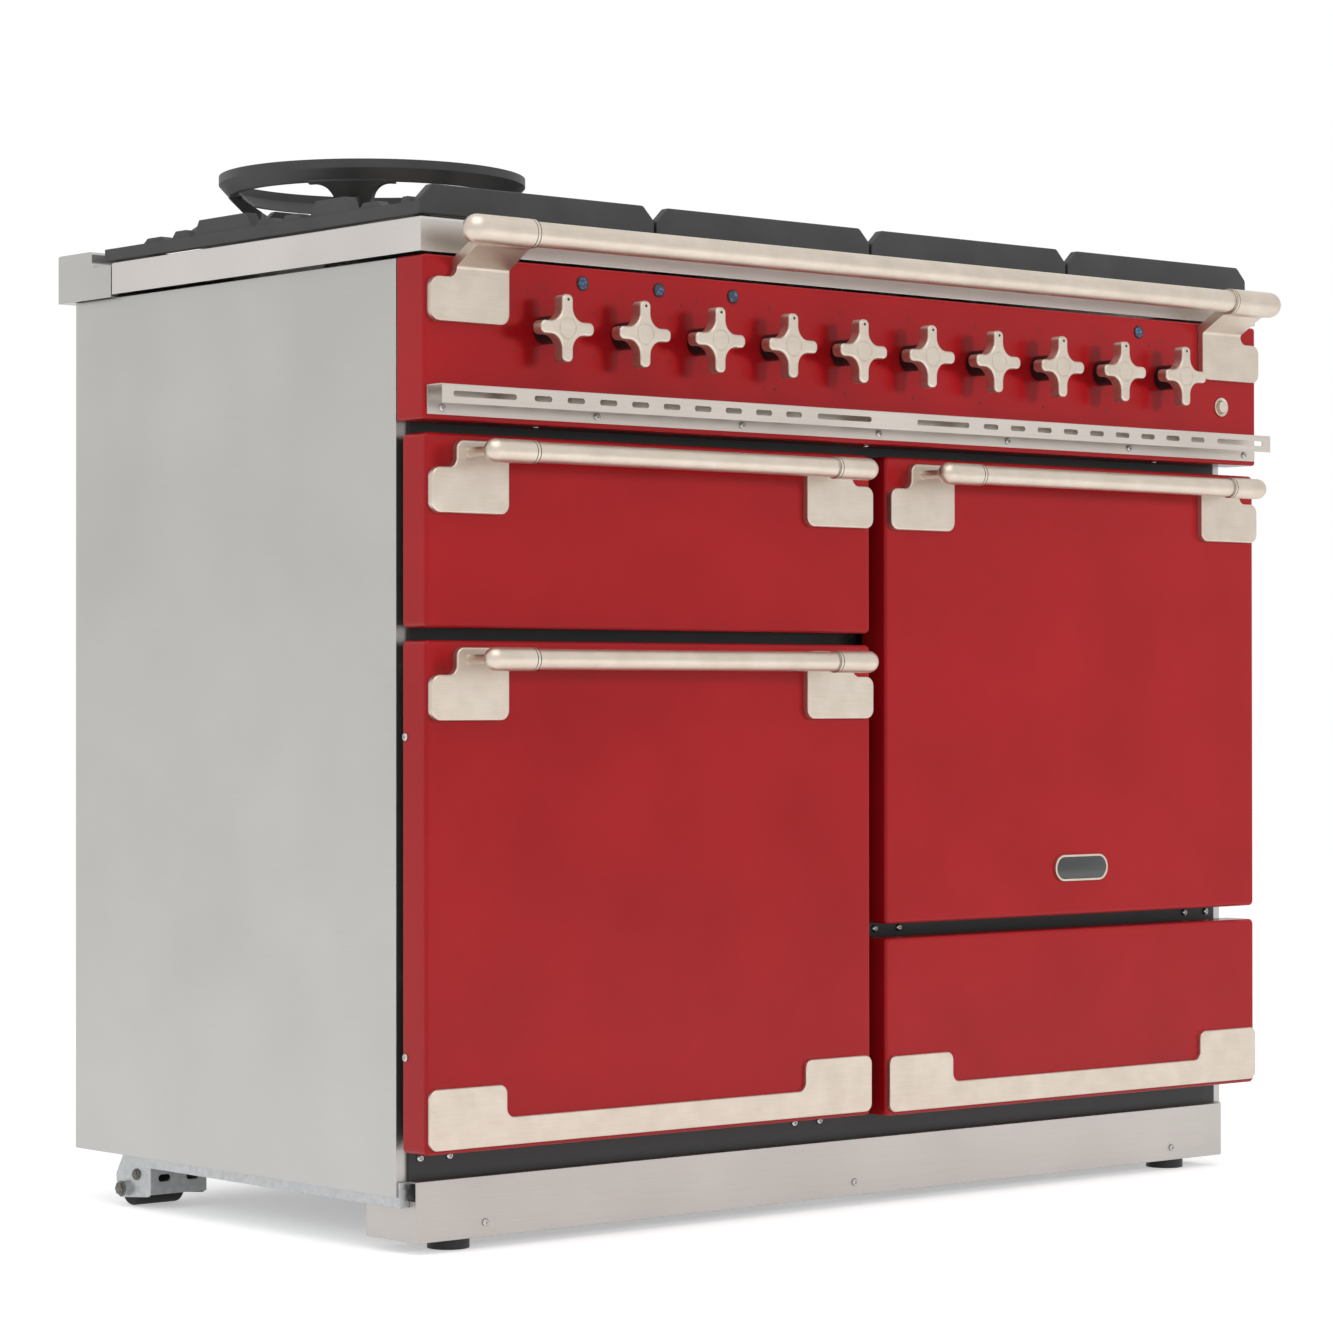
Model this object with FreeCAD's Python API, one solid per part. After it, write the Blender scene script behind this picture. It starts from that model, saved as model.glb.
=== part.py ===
"""Freestanding gas range, 110 cm class: two ovens, a glide-out grill, a storage drawer and a six-burner hob.

Units are millimetres, +Z is up and -Y is the front.  While a piece is drawn, y = 0 is the front face of
the doors and z = 0 is the floor.  save() moves every piece back so that the origin is the bottom centre
of the whole range.
"""
import FreeCAD
import Part
import math
import os

V = FreeCAD.Vector
X_AXIS = V(1, 0, 0)
Y_AXIS = V(0, 1, 0)
Z_AXIS = V(0, 0, 1)

# ---- overall sizes -----------------------------------------------------------------------------
range_width = 1092.0          # across the stainless hob trim
range_height = 908.0          # floor to hob trim
body_back = 569.0             # rear edge of the side panels
sheet = 1.5                   # pressed steel sheet
liner_wall = 2.0              # enamelled oven wall
running_gap = 0.3             # clearance between pieces that move past each other
pin_gap = 0.05                # radial clearance of a pin in its bore
rest_gap = 0.1                # between loose pieces and what they stand on
screw_shank = 1.5
screw_hole = 1.7

# ---- side panels -------------------------------------------------------------------------------
side_inset = 7.0              # hob trim beyond the side panels
panel_flange = 14.0
hob_trim_height = 30.5
trim_gap = 2.5                # shadow gap under the hob trim
body_width = range_width - 2 * side_inset
body_front = 47.0             # front edge of the side panels
panel_foot = 50.6             # lower edge of the side panels
panel_head = range_height - hob_trim_height - trim_gap

# ---- control fascia ----------------------------------------------------------------------------
fascia_height = 144.0
fascia_depth = 39.0
fascia_end = 2.0              # hob trim beyond the fascia
fascia_width = range_width - 2 * fascia_end
fascia_top = panel_head
fascia_bottom = fascia_top - fascia_height
fascia_screw_x = fascia_width / 2 - 138
fascia_screw_y = 18.0         # screws that come up into the fascia's underside

# ---- doors, grill and drawer -------------------------------------------------------------------
left_margin = 4.5             # hob trim beyond the left fronts
right_margin = 5.5
column_gap = 20.0             # between the left and the right fronts
front_gap = 11.0              # between fronts, one above the other
drawer_gap = 14.0
front_depth = 33.0
front_radius = 5.0
panel_wall = 1.2              # pressed steel of the red fronts
panel_edge = 3.5              # rounding round the face of a front
back_plate = 2.0              # plate that closes the back of a front
drawer_height = 170.0         # also the height of the grill front
left_door_bottom = 91.0
front_width = (range_width - left_margin - right_margin - column_gap) / 2
left_centre = left_margin + front_width / 2 - range_width / 2
right_centre = range_width / 2 - right_margin - front_width / 2
back_plate_y = front_depth - back_plate
grill_bottom = fascia_bottom - front_gap - drawer_height
door_height = grill_bottom - front_gap - left_door_bottom
right_door_bottom = fascia_bottom - front_gap - door_height
drawer_bottom = right_door_bottom - drawer_gap - drawer_height

# ---- door hinges -------------------------------------------------------------------------------
hinge_y = 20.0                # hinge axis inside the door thickness
hinge_rise = 10.0             # hinge axis above the door's lower edge
hinge_inset = 29.5            # hinge from the side of the door
hinge_pin_radius = 3.0
hinge_blade = 6.0             # thickness of the fixed hinge blade
hinge_slot = 22.0             # width of the slot that the hinge passes through
hinge_slot_rise = 26.0
hinge_offset = front_width / 2 - hinge_inset

# ---- front frame and chassis -------------------------------------------------------------------
frame_face = 44.0
frame_plate = 3.0
frame_width = body_width - 24
frame_bottom = 64.0
frame_top = panel_head - 1
rail_bottom = 41.5            # underside of the base rails
rail_width = 40.0
roller_radius = 17.0
roller_length = 52.0
roller_axle = 4.0
roller_plate = 2.0
roller_inset = 42.0           # middle of a roller from the side panel
roller_x = body_width / 2 - roller_inset
roller_y = body_back - 73
roller_step_y = roller_y - 46   # the side rails are shallower behind this line
roller_step_z = 2 * roller_radius + 18

# ---- oven cavities -----------------------------------------------------------------------------
cavity_margin = 52.5          # door beyond the cavity on each side
cavity_rise = 39.0            # cavity floor above the door's lower edge
cavity_drop = 79.0            # cavity roof below the door's upper edge
oven_back_space = 120.0       # behind a cavity, for its motor and the wiring
cavity_width = front_width - 2 * cavity_margin
cavity_height = door_height - cavity_rise - cavity_drop
cavity_depth = body_back - oven_back_space - frame_face - frame_plate - liner_wall
liner_flange = 15.0
seal_width = 10.0
fan_radius = 70.0
fan_depth = 14.0
shaft_radius = 4.0
baffle_size = 224.0
baffle_depth = 30.0
ring_radius = 92.0
element_rod = 3.2
motor_radius = 36.0
motor_length = 52.0
ladder_levels = 5
ladder_gap = 50.0             # from the cavity floor to the lowest rail
rack_rod = 3.0
rack_bar = 2.0

# ---- grill and drawer --------------------------------------------------------------------------
grill_margin = 40.5
grill_opening_rise = 20.0
grill_opening_drop = 18.0
grill_opening_width = front_width - 2 * grill_margin
grill_opening_height = drawer_height - grill_opening_rise - grill_opening_drop
grill_depth = cavity_depth
runner_width = 9.0
runner_height = 14.0
carriage_rail = 9.0
grid_leg_x = 100.0            # legs of the grill grid from its middle
drawer_margin = 28.5
drawer_rise = 10.0
drawer_side_space = 22.0      # between the drawer box and the opening
drawer_opening_width = front_width - 2 * drawer_margin
drawer_opening_height = drawer_height - drawer_rise - 14
drawer_box_width = drawer_opening_width - 2 * drawer_side_space
drawer_box_height = drawer_opening_height - 28
drawer_box_depth = cavity_depth + 40

# ---- plinth and feet ---------------------------------------------------------------------------
plinth_inset = 12.3           # side panel beyond the plinth
plinth_width = body_width - 2 * plinth_inset
plinth_front = 34.0
plinth_back = 108.0
plinth_bottom = 10.4
plinth_top = 64.2
plinth_side_top = 47.0
plinth_screw_x = plinth_width / 2 - 76.7
plinth_screw_z = 23.0
foot_radius = 19.0
foot_height = 12.0
foot_stem = 6.0
foot_x = plinth_width / 2 - 56.7
foot_y = 62.0

# ---- knobs, lamps, button and guard ------------------------------------------------------------
knob_count = 10
knob_left = 136.0             # from the left end of the range to the first knob
knob_right = 146.0
knob_pitch = (range_width - knob_left - knob_right) / (knob_count - 1)
knob_first = knob_left - range_width / 2
knob_z = fascia_bottom + 84.5
knob_face = -34.5
knob_back = -22.0
knob_reach = 30.0             # from the axis to the tip of an arm
knob_arm = 12.0
knob_edge = 2.2
knob_blend = 13.0             # concave radius between two arms
neck_radius = 12.5
neck_back = -0.8
stem_radius = 4.0
stem_front = -28.0
spindle_hole = 6.0            # hole in the fascia for a spindle
gas_pipe = 7.0                # radius of the gas rail
gas_turn = 50.0               # from the first tap to where the gas rail turns to the back
gas_x = knob_first + 3 * knob_pitch - gas_turn
gas_y = 26.0
gas_z = knob_z - 25.5
inlet_radius = 10.5
inlet_bore = 6.0
lamp_z = fascia_top - 14.5
lamp_radius = 5.5
button_x = range_width / 2 - 56
button_z = fascia_bottom + 59
button_radius = 6.2
bezel_radius = 10.0
guard_end = 5.0               # hob trim beyond the slotted guard
shield_width = range_width - 2 * guard_end
shield_bottom = fascia_bottom + 4.5
shield_top = shield_bottom + 25.5
shield_reach = 23.0
shield_lip = 17.0
slot_height = 5.0
slot_long = 70.0
slot_short = 20.0
slot_pitch = 37.4
slot_start = 30.0             # from the middle to the first slot
slot_end = 12.0

# ---- rails and handles -------------------------------------------------------------------------
bracket_thickness = 7.0
bracket_width = 85.0
bracket_inset = 2.0
handle_y = -42.0
handle_drop = 16.5            # handle axis below the top of the front
handle_inset = 33.0           # end of the bar from the side of the front
handle_cast = 54.0            # length of a cast end
handle_bar_radius = 9.2
handle_end_radius = 10.4
post_radius = 4.1
post_inset = 41.5             # post from the outer edge of the bracket
handle_half = front_width / 2 - handle_inset
handle_joint = handle_half - handle_cast
rail_y = -41.0
rail_z = range_height - 13.5
rail_inset = 15.5             # end of the hob rail from the end of the trim
rail_cast = 75.1
rail_bar_radius = 11.2
rail_end_radius = 13.0
rail_half = range_width / 2 - rail_inset
rail_joint = rail_half - rail_cast
rail_bracket_foot = fascia_top - 58
rail_bracket_step = fascia_top - 19.5
rail_bracket_bend = range_height - 36   # where the plate turns forward to the rail
trim_thickness = 4.0
trim_width = front_width - 2 * bracket_inset
trim_rise = 4.0
trim_strip = 25.0
trim_block = 53.5
trim_block_width = 85.0
badge_width = 75.0
badge_height = 26.0
badge_z = right_door_bottom + 47

# ---- hob ---------------------------------------------------------------------------------------
hob_width = range_width
hob_front = 2.0               # front face of the hob trim
hob_back = body_back - 75     # seam between the hob and the rear vent
hob_top = range_height
hob_bottom = hob_top - hob_trim_height
hob_rim = 15.0
hob_floor = hob_top - 12
support_gap = 3.0             # between two pan supports
support_margin = 4.0          # from the end of the trim to the first support
support_pitch = (range_width - 2 * support_margin) / 4
support_width = support_pitch - support_gap
support_front = 10.0
support_back = hob_back + 21
support_bar = 8.0
support_foot = hob_top + 3
support_side_top = hob_top + 14.5
support_top = hob_top + 30
burner_middle = (support_front + support_back) / 2 + 5.5
burner_spread = (support_back - support_front) / 4 - 8.25
small_burner = 33.0
large_burner = 52.0
wok_shift = 4.5               # wok burner from the middle of its support, towards the others
wok_radius = 144.0
wok_top = support_top + 40
wok_rim = 8.0
wok_throat = 104.0
wok_leg = 16.0                # half width of a leg at its foot
wok_angle = 45.0              # the legs stand on the diagonal fingers
vent_front = body_back - 73
vent_back = body_back + 21
vent_step_y = body_back - 39
vent_low_top = hob_top - 2
vent_high_top = hob_top + 13.5

front_most = rail_y - rail_end_radius
y_middle = (front_most + vent_back) / 2
half_body = body_width / 2
half_front = front_width / 2
grill_top = grill_bottom + drawer_height


# ---- helpers -----------------------------------------------------------------------------------
def block(x0, x1, y0, y1, z0, z1):
    """Box between two corners."""
    return Part.makeBox(x1 - x0, y1 - y0, z1 - z0, V(x0, y0, z0))


def bar(start, end, radius):
    """Round bar from one point to another."""
    run = end - start
    return Part.makeCylinder(radius, run.Length, start, run)


def bent_rod(points, radius, bend):
    """Round rod along straight runs, with a curve of radius bend at each corner.

    A loop ends where it starts.
    """
    edges = []
    last = points[0]
    for before, corner, after in zip(points[:-2], points[1:-1], points[2:]):
        to_before = (before - corner).normalize() * bend
        to_after = (after - corner).normalize() * bend
        centre = corner + to_before + to_after
        middle = centre + (corner - centre).normalize() * bend
        edges.append(Part.LineSegment(last, corner + to_before).toShape())
        edges.append(Part.Arc(corner + to_before, middle, corner + to_after).toShape())
        last = corner + to_after
    edges.append(Part.LineSegment(last, points[-1]).toShape())
    ring = Part.Wire(Part.makeCircle(radius, points[0], points[1] - points[0]))
    return Part.Wire(edges).makePipeShell([ring], True, True)


def wire_loop(x0, x1, y0, y1, z, radius, bend):
    """Closed rectangular loop of round wire, level, starting in the middle of its front run."""
    middle = (x0 + x1) / 2
    return bent_rod([V(middle, y0, z), V(x1, y0, z), V(x1, y1, z), V(x0, y1, z), V(x0, y0, z),
                     V(middle, y0, z)], radius, bend)


def fuse(shapes):
    """One solid from several that overlap."""
    return shapes[0].fuse(shapes[1:]).removeSplitter()


def rounded_face(corners, place):
    """Face through corners (a, b, radius), each rounded by a tangent arc.  place() turns (a, b) to 3D."""
    edges = []
    last = None
    first = None
    count = len(corners)
    for i in range(count):
        a, b, radius = corners[i]
        here = V(a, b, 0)
        before = V(corners[i - 1][0], corners[i - 1][1], 0) - here
        after = V(corners[(i + 1) % count][0], corners[(i + 1) % count][1], 0) - here
        if radius == 0:
            start = end = here
        else:
            half = before.getAngle(after) / 2
            reach = radius / math.tan(half)
            start = here + before.normalize() * reach
            end = here + after.normalize() * reach
            bisector = (before + after).normalize()
            middle = here + bisector * (radius / math.sin(half) - radius)
        if last is not None and last.distanceToPoint(start) > 1e-6:
            edges.append(Part.LineSegment(place(last), place(start)).toShape())
        if radius > 0:
            edges.append(Part.Arc(place(start), place(middle), place(end)).toShape())
        first = first or start
        last = end
    if last.distanceToPoint(first) > 1e-6:
        edges.append(Part.LineSegment(place(last), place(first)).toShape())
    return Part.Face(Part.Wire(edges))


def upright(corners, y0, y1):
    """Plate with an outline in X and Z, from y0 to y1."""
    face = rounded_face(corners, lambda p: V(p.x, y0, p.y))
    return face.extrude(V(0, y1 - y0, 0))


def sideways(corners, x0, x1):
    """Plate with an outline in Y and Z, from x0 to x1."""
    face = rounded_face(corners, lambda p: V(x0, p.x, p.y))
    return face.extrude(V(x1 - x0, 0, 0))


def rectangle(x0, x1, z0, z1, radius):
    """Corners of a rectangle, for rounded_face."""
    return [(x0, z0, radius), (x1, z0, radius), (x1, z1, radius), (x0, z1, radius)]


def mirrored(shape):
    """Copy on the other side of the middle of the range."""
    return shape.mirror(V(0, 0, 0), X_AXIS)


def front_screw(x, y, z):
    """Pan-head screw driven backwards into a face at y."""
    head = Part.makeCylinder(3.5, 2.0, V(x, y - 2.0, z), Y_AXIS)
    head = head.makeFillet(1.0, [e for e in head.Edges if e.BoundBox.YMax < y - 1.9])
    return head.fuse(Part.makeCylinder(screw_shank, 6.0, V(x, y, z), Y_AXIS)).removeSplitter()


def under_screw(x, y, z):
    """Pan-head screw driven upwards into a face at z."""
    head = Part.makeCylinder(3.5, 2.0, V(x, y, z - 2.0), Z_AXIS)
    head = head.makeFillet(1.0, [e for e in head.Edges if e.BoundBox.ZMax < z - 1.9])
    return head.fuse(Part.makeCylinder(screw_shank, 6.0, V(x, y, z), Z_AXIS)).removeSplitter()


def screw_holes(places, y0, y1):
    """Clearance holes for front screws."""
    return [Part.makeCylinder(screw_hole, y1 - y0, V(x, y0, z), Y_AXIS) for x, z in places]


def save(name, *solids):
    """Write one node.  Every solid has to be a valid closed one."""
    flat = []
    for shape in solids:
        flat.extend(shape.Solids)
    for solid in flat:
        if not solid.isValid():
            raise ValueError(name + " has an invalid solid")
    node = Part.makeCompound(flat) if len(flat) > 1 else flat[0].copy()
    node.translate(V(0, -y_middle, 0))
    node.exportStep("parts/" + name + ".step")
    print(name, len(flat), "solids")


# ---- screws: places shared by the screws and the sheets they pass through ------------------------
guard_screw_x = shield_width / 2 - 16
shield_screws = [(guard_screw_x * (i - 3) / 3, shield_bottom + 6) for i in range(7)]
plinth_screws = [(plinth_screw_x * i, plinth_screw_z) for i in (-1, 0, 1)]


def hinge_screw_places(centre, bottom):
    """Screws that hold the hinges, on the frame below a door."""
    return [(centre + side * offset, bottom - 7) for side in (-1, 1)
            for offset in (hinge_offset - 29.5, hinge_offset + 3)]


fascia_screws = [(fascia_screw_x * i, fascia_screw_y) for i in (-1, 0, 1)]
frame_screws = hinge_screw_places(left_centre, left_door_bottom)
frame_screws += hinge_screw_places(right_centre, right_door_bottom)


# ---- chassis -----------------------------------------------------------------------------------
def base_frame():
    """Welded rail frame with tabs for the plinth screws."""
    inner = half_body - sheet
    front = frame_face
    back = body_back - 3 * sheet
    parts = [block(-inner, inner, front, front + rail_width, rail_bottom, frame_bottom),
             block(-inner, inner, back - rail_width, back, roller_step_z, frame_bottom)]
    for side in (-1, 1):
        x0, x1 = sorted((side * inner, side * (inner - rail_width)))
        parts.append(block(x0, x1, front, roller_step_y, rail_bottom, frame_bottom))
        parts.append(block(x0, x1, front, back, roller_step_z, frame_bottom))
    parts.append(block(-rail_width, rail_width, front, back, rail_bottom, frame_bottom))
    hollow = [block(-inner + 2, inner - 2, front + 2, front + rail_width - 2, rail_bottom - 1,
                    frame_bottom - 2)]
    tab_y = plinth_front + sheet
    for x, z in plinth_screws:
        parts.append(block(x - 14, x + 14, tab_y, tab_y + 2, z - 9, frame_bottom - 4))
        parts.append(block(x - 14, x + 14, tab_y, front + 1, frame_bottom - 6, frame_bottom - 4))
    notch = block(plinth_width / 2 - sheet - running_gap, plinth_width / 2 + running_gap, front - 1,
                  plinth_back + running_gap,
                  rail_bottom - 1, plinth_side_top + running_gap)
    frame = fuse(parts).cut(hollow + [notch, mirrored(notch)]
                            + screw_holes(plinth_screws, tab_y - 1, tab_y + 3))
    return frame.removeSplitter()


def roller_bracket():
    """Galvanised fork that carries the right rear roller, with its axle as a second solid."""
    inside = roller_x - roller_length / 2 - 4
    outside = roller_x + roller_length / 2 + 4
    front = roller_y - 42
    cheek = [(front, 12, 4), (roller_y + 14, 7, 8), (roller_y + 16, 30, 8),
             (roller_y + 2, roller_step_z, 0),
             (front, roller_step_z, 0)]
    cheeks = [sideways(cheek, inside - roller_plate, inside),
              sideways(cheek, outside, outside + roller_plate)]
    web = block(inside - roller_plate, outside + roller_plate, front - roller_plate, front, 14,
                roller_step_z)
    top = block(inside - roller_plate, outside + roller_plate, front - roller_plate, roller_y,
                roller_step_z - roller_plate, roller_step_z)
    fork = fuse(cheeks + [web, top])
    axle_hole = Part.makeCylinder(roller_axle, 90, V(inside - 10, roller_y, roller_radius), X_AXIS)
    slots = []
    for x in (inside + 14, outside - 14):
        slots.append(upright(rectangle(x - 7, x + 7, 26, 33, 3.4), front - 4, front + 2))
    fork = fork.cut([axle_hole] + slots)
    axle_start = inside - roller_plate - 3
    axle = Part.makeCylinder(roller_axle, outside + roller_plate - axle_start,
                             V(axle_start, roller_y, roller_radius), X_AXIS)
    head = Part.makeCylinder(7, 4, V(outside + roller_plate, roller_y, roller_radius), X_AXIS)
    return [fork.removeSplitter(), axle.fuse(head).removeSplitter()]


def roller():
    """Right rear roller, with its bore."""
    start = roller_x - roller_length / 2
    wheel = Part.makeCylinder(roller_radius, roller_length, V(start, roller_y, roller_radius), X_AXIS)
    wheel = wheel.makeFillet(3, [e for e in wheel.Edges if e.Curve.TypeId == "Part::GeomCircle"])
    bore = Part.makeCylinder(roller_axle + pin_gap, roller_length + 2,
                             V(start - 1, roller_y, roller_radius), X_AXIS)
    return wheel.cut(bore)


def levelling_foot():
    """Screw-in foot under the right end of the front rail."""
    pad = Part.makeCylinder(foot_radius, foot_height, V(foot_x, foot_y, 0), Z_AXIS)
    pad = pad.makeFillet(2.5, [e for e in pad.Edges if e.BoundBox.ZMin > foot_height - 0.1])
    stem = Part.makeCylinder(foot_stem, frame_bottom - 2, V(foot_x, foot_y, 0), Z_AXIS)
    return pad.fuse(stem).removeSplitter()


def plinth():
    """Folded skirt with short side returns and a flange that meets the front rail."""
    half = plinth_width / 2
    front = block(-half, half, plinth_front, plinth_front + sheet, plinth_bottom, plinth_top)
    flange = block(-half, half, plinth_front, frame_face, plinth_top - sheet, plinth_top)
    front = front.fuse(flange)
    side = sideways([(plinth_front, plinth_bottom, 0), (plinth_back, plinth_bottom, 0),
                     (plinth_back, plinth_side_top, 0), (plinth_front, plinth_side_top, 0)],
                    half - sheet, half)
    skirt = fuse([front, side, mirrored(side)])
    return skirt.cut(screw_holes(plinth_screws, plinth_front - 1,
                                 plinth_front + sheet + 1)).removeSplitter()


def side_panel():
    """Right side panel: a tray with a visible front return and flanges at top and bottom."""
    outer = half_body
    web = block(outer - sheet, outer, body_front, body_back, panel_foot, panel_head)
    lip = block(outer - panel_flange, outer, body_front, body_front + sheet, panel_foot, panel_head)
    head = block(outer - panel_flange, outer, body_front, body_back, panel_head - sheet, panel_head)
    back = block(outer - panel_flange, outer, body_back - sheet, body_back, panel_foot, panel_head)
    rail = block(outer - sheet - rail_width, outer - sheet, body_front - 1, body_back + 1, 0,
                 frame_bottom)
    return fuse([web, lip, head, back]).cut(rail).removeSplitter()


def rear_cover():
    """Back sheet with ventilation slots, the gas pipe hole and holes at the motors."""
    half = half_body - panel_flange
    sheet_back = body_back - sheet
    cover = block(-half - 12, half + 12, sheet_back - sheet, sheet_back, frame_bottom,
                  panel_head - sheet)
    slots = []
    for centre in (left_centre, right_centre):
        for row in range(6):
            z = fascia_bottom - 31 + 16 * row
            slots.append(upright(rectangle(centre - 60, centre + 60, z, z + 6, 2.9), sheet_back - 5,
                                 sheet_back + 5))
    hole = Part.makeCylinder(gas_pipe + 2, 10, V(gas_x, sheet_back - 5, gas_z), Y_AXIS)
    return cover.cut(slots + [hole])


def cavity_floor(door_bottom):
    """Height of an oven floor above the ground."""
    return door_bottom + cavity_rise


def frame_column(centre, x0, x1, spaces):
    """Rails and cheeks of one column, around its openings (half width, floor, roof) from the bottom up."""
    strips = []
    last = frame_bottom
    for half, floor, roof in spaces:
        strips.append((x0, x1, last, floor))
        if centre - half > x0:
            strips.append((x0, centre - half, floor, roof))
        if centre + half < x1:
            strips.append((centre + half, x1, floor, roof))
        last = roof
    return strips + [(x0, x1, last, frame_top)]


def front_frame():
    """Black front frame: three stiles, with rails and cheeks between them, and the screw holes."""
    half = frame_width / 2
    ovens = [(cavity_width / 2, floor, floor + cavity_height)
             for floor in [cavity_floor(b) for _, b in oven_places]]
    grill_floor = grill_bottom + grill_opening_rise
    grill = (grill_opening_width / 2, grill_floor, grill_floor + grill_opening_height)
    drawer_floor = drawer_bottom + drawer_rise
    drawer = (drawer_opening_width / 2, drawer_floor, drawer_floor + drawer_opening_height)
    left = [left_centre + side * max(ovens[0][0], grill[0]) for side in (-1, 1)]
    right = [right_centre + side * max(ovens[1][0], drawer[0]) for side in (-1, 1)]
    strips = [(-half, left[0], frame_bottom, frame_top), (left[1], right[0], frame_bottom, frame_top),
              (right[1], half, frame_bottom, frame_top)]
    strips += frame_column(left_centre, left[0], left[1], [ovens[0], grill])
    strips += frame_column(right_centre, right[0], right[1], [drawer, ovens[1]])
    cuts = [Part.makeCylinder(gas_pipe + 2, 10, V(gas_x, frame_face - 3, gas_z), Y_AXIS)]
    cuts += screw_holes(frame_screws, frame_face - 1, frame_face + frame_plate + 1)
    return [block(x0, x1, frame_face, frame_face + frame_plate, z0, z1).cut(cuts)
            for x0, x1, z0, z1 in strips]


def hinge_blade_piece(centre, bottom, side):
    """Fixed hinge blade: stands forward from the frame and holds the bore for the door's pin."""
    x = centre + side * hinge_offset
    z = bottom + hinge_rise
    shape = [(hinge_y - 7, z - 7, 6.5), (frame_face, z - 7, 0), (frame_face, z + 10, 0),
             (hinge_y - 7, z + 7, 6.5)]
    blade = sideways(shape, x - hinge_blade / 2, x + hinge_blade / 2)
    foot = block(x - hinge_blade / 2 - 4, x + hinge_blade / 2 + 4, frame_face - 2.5, frame_face, z - 7,
                 z + 10)
    bore = Part.makeCylinder(hinge_pin_radius + pin_gap, 20, V(x - 10, hinge_y, z), X_AXIS)
    return blade.fuse(foot).cut(bore).removeSplitter()


def centre_divider():
    """Folded wall between the two columns; it also carries the hob."""
    front = liner_front + 4
    back = body_back - 2 * sheet
    web = block(-1, 1, front, back, frame_bottom, panel_head)
    upper = block(-1, 1, front, hob_back - 4, frame_bottom, hob_floor - sheet)
    foot = block(-12, 12, front, back, frame_bottom, frame_bottom + 2)
    return fuse([web, upper, foot])


# ---- ovens -------------------------------------------------------------------------------------
oven_places = [(left_centre, left_door_bottom), (right_centre, right_door_bottom)]
liner_front = frame_face + frame_plate
liner_back = liner_front + cavity_depth
baffle_front = liner_back - baffle_depth


def oven_liner(centre, bottom):
    """Enamelled cavity: open front with a flange, shaft and element holes in the back."""
    floor = cavity_floor(bottom)
    half = cavity_width / 2
    outer = block(centre - half - liner_wall, centre + half + liner_wall, liner_front,
                  liner_back + liner_wall,
                  floor - liner_wall, floor + cavity_height + liner_wall)
    flange = block(centre - half - liner_flange, centre + half + liner_flange, liner_front,
                   liner_front + liner_wall, floor - liner_flange, floor + cavity_height + liner_flange)
    inner = block(centre - half, centre + half, liner_front - 1, liner_back, floor,
                  floor + cavity_height)
    inner = inner.makeFillet(12, [e for e in inner.Edges if e.BoundBox.YLength > cavity_depth])
    middle = floor + cavity_height / 2
    holes = [Part.makeCylinder(shaft_radius + 1.5, 10, V(centre, liner_back - 5, middle), Y_AXIS)]
    for side in (-1, 1):
        holes.append(Part.makeCylinder(element_rod + 0.5, 10,
                                       V(centre + side * 12, liner_back - 5, middle - ring_radius),
                                       Y_AXIS))
    return outer.fuse(flange).cut([inner] + holes).removeSplitter()


def oven_seal(centre, bottom):
    """Door gasket round the cavity opening."""
    floor = cavity_floor(bottom)
    half = cavity_width / 2 + 4
    y0 = front_depth + running_gap
    outer = upright(rectangle(centre - half - seal_width, centre + half + seal_width,
                              floor - 4 - seal_width,
                              floor + cavity_height + 4 + seal_width, 20), y0, frame_face)
    inner = upright(rectangle(centre - half, centre + half, floor - 4, floor + cavity_height + 4, 10),
                    y0 - 1, frame_face + 1)
    return outer.cut(inner)


def ring_element(centre, bottom):
    """Sheathed ring heater around the fan, with two legs out through the back wall."""
    middle = cavity_floor(bottom) + cavity_height / 2
    y = liner_back - 15
    ring = Part.makeTorus(ring_radius, element_rod, V(centre, y, middle), Y_AXIS)
    legs = [bar(V(centre + side * 12, y, middle - ring_radius),
                V(centre + side * 12, liner_back + 24, middle - ring_radius), element_rod)
            for side in (-1, 1)]
    return fuse([ring] + legs)


def fan_baffle(centre, bottom):
    """Perforated cover over the fan."""
    middle = cavity_floor(bottom) + cavity_height / 2
    half = baffle_size / 2
    outer = upright(rectangle(centre - half, centre + half, middle - half, middle + half, 24),
                    baffle_front, liner_back)
    inner = upright(rectangle(centre - half + sheet, centre + half - sheet, middle - half + sheet,
                              middle + half - sheet, 22.5),
                    baffle_front + sheet, liner_back + 1)
    holes = []
    for row in range(-3, 4):
        reach = 44 - abs(row) * 6
        z = middle + row * 11
        holes.append(upright(rectangle(centre - reach, centre + reach, z - 3, z + 3, 2.9),
                             baffle_front - 1, baffle_front + 3))
    for side in (-1, 1):
        for row in range(-4, 5):
            z = middle + row * 20
            x = centre + side * half
            holes.append(block(x - 4, x + 4, baffle_front + 8, baffle_front + 22, z - 5, z + 5))
    return outer.cut([inner] + holes)


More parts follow.
